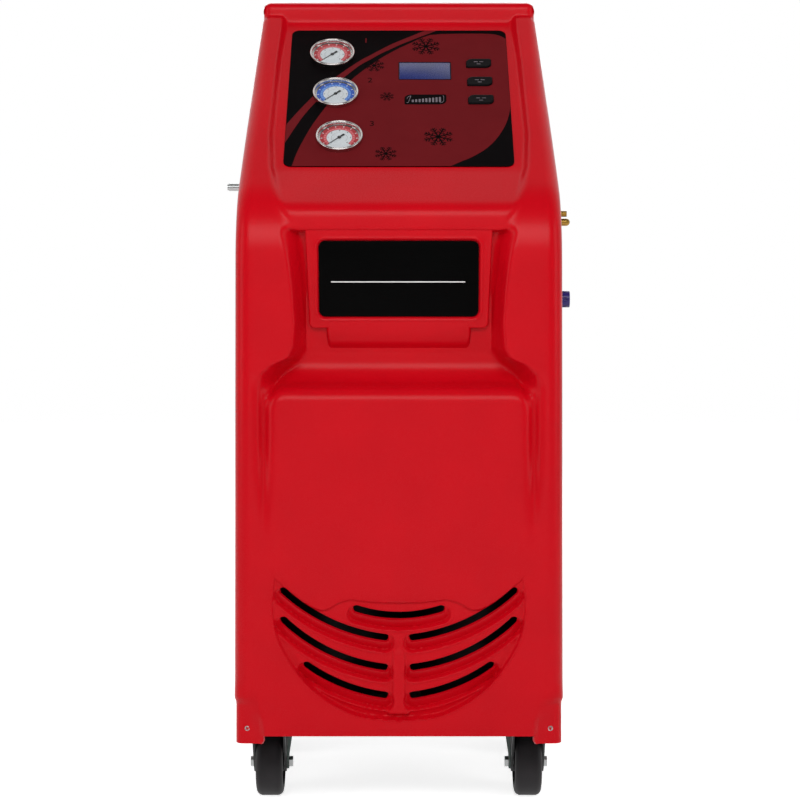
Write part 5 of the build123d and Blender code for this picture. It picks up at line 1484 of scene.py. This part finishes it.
class MACHINE_OT_condenser(bpy.types.Operator):
    """Stacks the condenser's fins between its end plates and edge plates"""
    bl_idname = "machine.condenser"
    bl_label = "Condenser"

    def execute(self, context):
        low, high = (np.array(c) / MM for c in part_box("condenser"))
        sizes = context.scene.machine_sizes
        pitch = sizes.fin_pitch / MM
        count = int((high[0] - low[0] - 6.0) / pitch)
        depth, height = high[1] - low[1], high[2] - low[2]
        fin = printed("fin_unit", [box_outline(0.3, depth - 2.0, 0.05)], 0.0, height - 6.0,
                      MATERIALS["aluminium_part"])
        fins = run_tree("condenser_fins", units_in_row, Unit=fin, Count=count,
                        Step=(sizes.fin_pitch, 0.0, 0.0), Growth=(0.0, 0.0, 0.0),
                        Finish=MATERIALS["aluminium_part"])
        start = [(low[0] + high[0]) / 2 - pitch * (count - 1) / 2, (low[1] + high[1]) / 2, low[2] + 3.0]
        moved(fins, lambda p: p + start)
        hand_over(fins, "aluminium_part", "condenser")
        width, middle = high[0] - low[0], (low[1] + high[1]) / 2
        metal = MATERIALS["zinc_plate"]
        plates = [printed("end_plate", [box_outline(2.0, depth, 0.2, (x, middle))], low[2], high[2], metal)
                  for x in (low[0] + 1.0, high[0] - 1.0)]
        plates += [printed("edge_plate", [box_outline(width, depth, 0.4, (0.0, middle))], z - 1.0, z + 1.0,
                           metal)
                   for z in (low[2] + 1.0, high[2] - 1.0)]
        plates = joined("condenser_plates", plates)
        hand_over(plates, "aluminium_part")
        return {"FINISHED"}


# Louvres of the rear cover and the hoods pressed over them
LOUVRE_ROWS = 5
LOUVRE_PITCH = 16.0
LOUVRE_X = 95.0
LOUVRE_FOOT = 330.0
HOOD = {"half": 46.0, "wall": 0.9, "reach": 3.4, "rise": 5.2, "end": 6.0}


class MACHINE_OT_louvres(bpy.types.Operator):
    """Presses a hood over each exhaust slot of the rear cover"""
    bl_idname = "machine.louvres"
    bl_label = "Rear louvre hoods"

    def execute(self, context):
        hoods = []
        for side in (-1, 1):
            row = run_tree("hood_row", units_in_row, Unit=hood_unit(), Count=LOUVRE_ROWS,
                           Step=(0.0, 0.0, LOUVRE_PITCH * MM), Growth=(0.0, 0.0, 0.0),
                           Finish=MATERIALS["powder_coat"])
            hoods.append(moved(row, lambda p, side=side: p + [side * LOUVRE_X, BACK + 2.0, LOUVRE_FOOT]))
        piece = joined("louvre_hoods", hoods)
        hand_over(piece, "powder_coat")
        return {"FINISHED"}


def hood_unit():
    """Quarter round hood with tapered ends, open below, standing out along Y."""
    half, wall, taper = HOOD["half"], HOOD["wall"], HOOD["end"]
    bend = [math.radians(a) for a in range(0, 91, 15)]
    rings = []
    for x in list(np.linspace(-half, -half + taper, 6)) + list(np.linspace(half - taper, half, 6)):
        end = min(1.0, (half - abs(x)) / taper)
        grow = 0.12 + 0.88 * math.sqrt(max(0.0, end * (2 - end)))
        reach, rise = HOOD["reach"] * grow, HOOD["rise"] * grow
        outer = [(x, reach * math.cos(a), rise * math.sin(a) - 1.0) for a in bend]
        inner = [(x, max(reach * math.cos(a) - wall, -0.4), rise * math.sin(a) - 1.0 - wall * 0.8)
                 for a in bend[::-1]]
        rings.append(np.array(outer + inner))
    return ring_solid("hood_unit", rings, MATERIALS["powder_coat"], None, 40.0)


# Stage: name, place, aim, size in metres, power in watts and whether the lamp is mirrored in the pieces
LAMPS = [
    ("Softbox above the front", (0.0, -3.0, 2.6), (0.0, -0.1, 0.75), (2.6, 1.2), 50.0, True),
    ("Side fill left", (-2.8, -1.2, 1.4), (0.0, 0.0, 0.7), (1.2, 2.2), 14.0, True),
    ("Side fill right", (2.8, -1.2, 1.4), (0.0, 0.0, 0.7), (1.2, 2.2), 14.0, True),
    ("Front fill", (0.0, -3.6, 0.9), (0.0, 0.0, 0.6), (1.6, 1.6), 17.0, False),
    ("Back fill", (0.0, 3.2, 2.2), (0.0, 0.1, 0.7), (2.4, 1.6), 40.0, True),
]
FLOOR_REACH = 6000
SENSOR_WIDTH = 36.0
FOCAL_SHARE = 1851.0 / 800.0
CAMERA_PLACE = (0.0017, (FRONT - 2585.0) * MM, 0.815)
CAMERA_DIP = 4.56


def make_world(context):
    """White surround: even light that grows weaker upwards, seen as a bright wall behind the machine."""
    world = bpy.data.worlds.new("Studio")
    context.scene.world = world
    world.use_nodes = True
    tree = world.node_tree
    tree.nodes.clear()
    path = add_node(tree, "ShaderNodeLightPath").outputs
    direction = add_node(tree, "ShaderNodeTexCoord").outputs["Generated"]
    split = add_node(tree, "ShaderNodeSeparateXYZ", {"Vector": direction})
    behind = add_node(tree, "ShaderNodeMapRange", {
        "Value": split.outputs["Y"], "From Min": -0.25, "From Max": 0.35, "To Min": 0.06, "To Max": 1.0})
    clear = scalar(tree, "MAXIMUM", path["Is Camera Ray"], path["Is Transmission Ray"])
    shown = add_node(tree, "ShaderNodeMix", {0: clear, 2: behind.outputs[0], 3: 1.0}, data_type="FLOAT")
    seen = scalar(tree, "MAXIMUM", clear, path["Is Glossy Ray"])
    ambient = add_node(tree, "ShaderNodeMapRange", {
        "Value": split.outputs["Z"], "From Min": 0.0, "From Max": 0.8, "To Min": 0.47, "To Max": 0.24})
    strength = add_node(tree, "ShaderNodeMix", {0: seen, 2: ambient.outputs[0], 3: shown.outputs[0]},
                        data_type="FLOAT")
    surround = add_node(tree, "ShaderNodeBackground", {
        "Color": (1.0, 1.0, 1.0, 1.0), "Strength": strength.outputs[0]})
    add_node(tree, "ShaderNodeOutputWorld", {"Surface": surround.outputs[0]})


class MACHINE_OT_stage(bpy.types.Operator):
    """Sets the pale floor, the white surround, the soft lights and the camera"""
    bl_idname = "machine.stage"
    bl_label = "Studio stage"

    def execute(self, context):
        make_world(context)
        corners = [(x * FLOOR_REACH, y * FLOOR_REACH, 0) for x, y in ((-1, -1), (1, -1), (1, 1), (-1, 1))]
        mesh_piece("floor", corners, [(0, 1, 2, 3)], floor_finish())
        for lamp in LAMPS:
            add_lamp(*lamp)

        camera = bpy.data.cameras.new("Camera")
        camera.sensor_width = SENSOR_WIDTH
        camera.lens = SENSOR_WIDTH * FOCAL_SHARE
        camera.clip_start = 0.05
        camera.clip_end = 50.0
        holder = bpy.data.objects.new("Camera", camera)
        context.scene.collection.objects.link(holder)
        holder.location = CAMERA_PLACE
        holder.rotation_euler = (math.radians(90.0 - CAMERA_DIP), 0.0, 0.0)
        context.scene.camera = holder
        context.scene.view_settings.view_transform = "Standard"
        return {"FINISHED"}


def floor_finish():
    """White studio vinyl: plain pale sheet that keeps the shadow."""
    material, tree = finish_of("Studio vinyl white")
    path = add_node(tree, "ShaderNodeLightPath").outputs
    seen = scalar(tree, "MAXIMUM", path["Is Camera Ray"], path["Is Glossy Ray"])
    sheet = add_node(tree, "ShaderNodeBsdfDiffuse", {"Color": (0.9, 0.9, 0.9, 1.0), "Roughness": 0.6})
    glow = add_node(tree, "ShaderNodeEmission", {"Color": (1.0, 1.0, 1.0, 1.0), "Strength": 0.72})
    lit = add_node(tree, "ShaderNodeAddShader", {0: sheet.outputs[0], 1: glow.outputs[0]})
    shade(tree, add_node(tree, "ShaderNodeMixShader", {0: seen, 1: sheet.outputs[0], 2: lit.outputs[0]}))
    return material


def add_lamp(name, place, target, size, power, mirrored):
    """An area lamp aimed at a target."""
    lamp = bpy.data.lights.new(name, "AREA")
    lamp.shape = "RECTANGLE"
    lamp.size, lamp.size_y = size
    lamp.energy = power
    holder = bpy.data.objects.new(name, lamp)
    holder.location = place
    holder.rotation_euler = (Vector(target) - Vector(place)).to_track_quat("-Z", "Y").to_euler()
    holder.visible_glossy = mirrored
    bpy.context.scene.collection.objects.link(holder)


class MachineSizes(bpy.types.PropertyGroup):
    casing_wall: FloatProperty(name="Casing wall", description="Thickness of the moulded casing",
                               default=0.005, min=0.002, max=0.01, unit="LENGTH", subtype="DISTANCE")
    fin_pitch: FloatProperty(name="Fin pitch", description="Distance between two condenser fins",
                             default=0.0035, min=0.0015, max=0.01, unit="LENGTH", subtype="DISTANCE")
    flake_arms: IntProperty(name="Snowflake arms", description="Arms of each printed snowflake", default=8,
                            min=6, max=12)
    dial_marks: IntProperty(name="Dial marks", description="Marks on each gauge's coloured band",
                            default=22, min=11, max=61)


class MachineColours(bpy.types.PropertyGroup):
    casing: FloatVectorProperty(name="Casing", description="Colour of the moulded casing",
                                default=linear("c80516")[:3], size=3, min=0.0, max=1.0, subtype="COLOR")


class MACHINE_PT_panel(bpy.types.Panel):
    """Lists the pieces of the machine"""
    bl_label = "Recovery Machine"
    bl_space_type = "VIEW_3D"
    bl_region_type = "UI"
    bl_category = "Recovery Machine"

    def draw(self, context):
        for operator in OPERATORS:
            self.layout.operator(operator.bl_idname)


OPERATORS = [MACHINE_OT_stage, MACHINE_OT_casing, MACHINE_OT_sign, MACHINE_OT_overlay, MACHINE_OT_gauges,
             MACHINE_OT_keys,
             MACHINE_OT_fasteners, MACHINE_OT_condenser, MACHINE_OT_louvres]
CLASSES = [MachineSizes, MachineColours] + OPERATORS + [MACHINE_PT_panel]


def register():
    for entry in CLASSES:
        bpy.utils.register_class(entry)
    bpy.types.Scene.machine_sizes = PointerProperty(type=MachineSizes)
    bpy.types.Scene.machine_colours = PointerProperty(type=MachineColours)


def unregister():
    del bpy.types.Scene.machine_sizes
    del bpy.types.Scene.machine_colours
    for entry in reversed(CLASSES):
        bpy.utils.unregister_class(entry)


def dress_frame():
    """Gives every CAD node that stays its own finish, by its material slot."""
    for part in frame["record"]["subparts"]:
        obj = frame["nodes"][part["node"]]
        finish = MATERIALS["panel_black" if part["material_slot"] == "panel_print" else part["material_slot"]]
        for k in range(len(obj.material_slots)):
            obj.material_slots[k].material = finish


def main():
    register()
    make_materials()
    dress_frame()
    for operator in OPERATORS:
        group, name = operator.bl_idname.split(".")
        getattr(getattr(bpy.ops, group), name)()


if __name__ == "__main__":
    main()
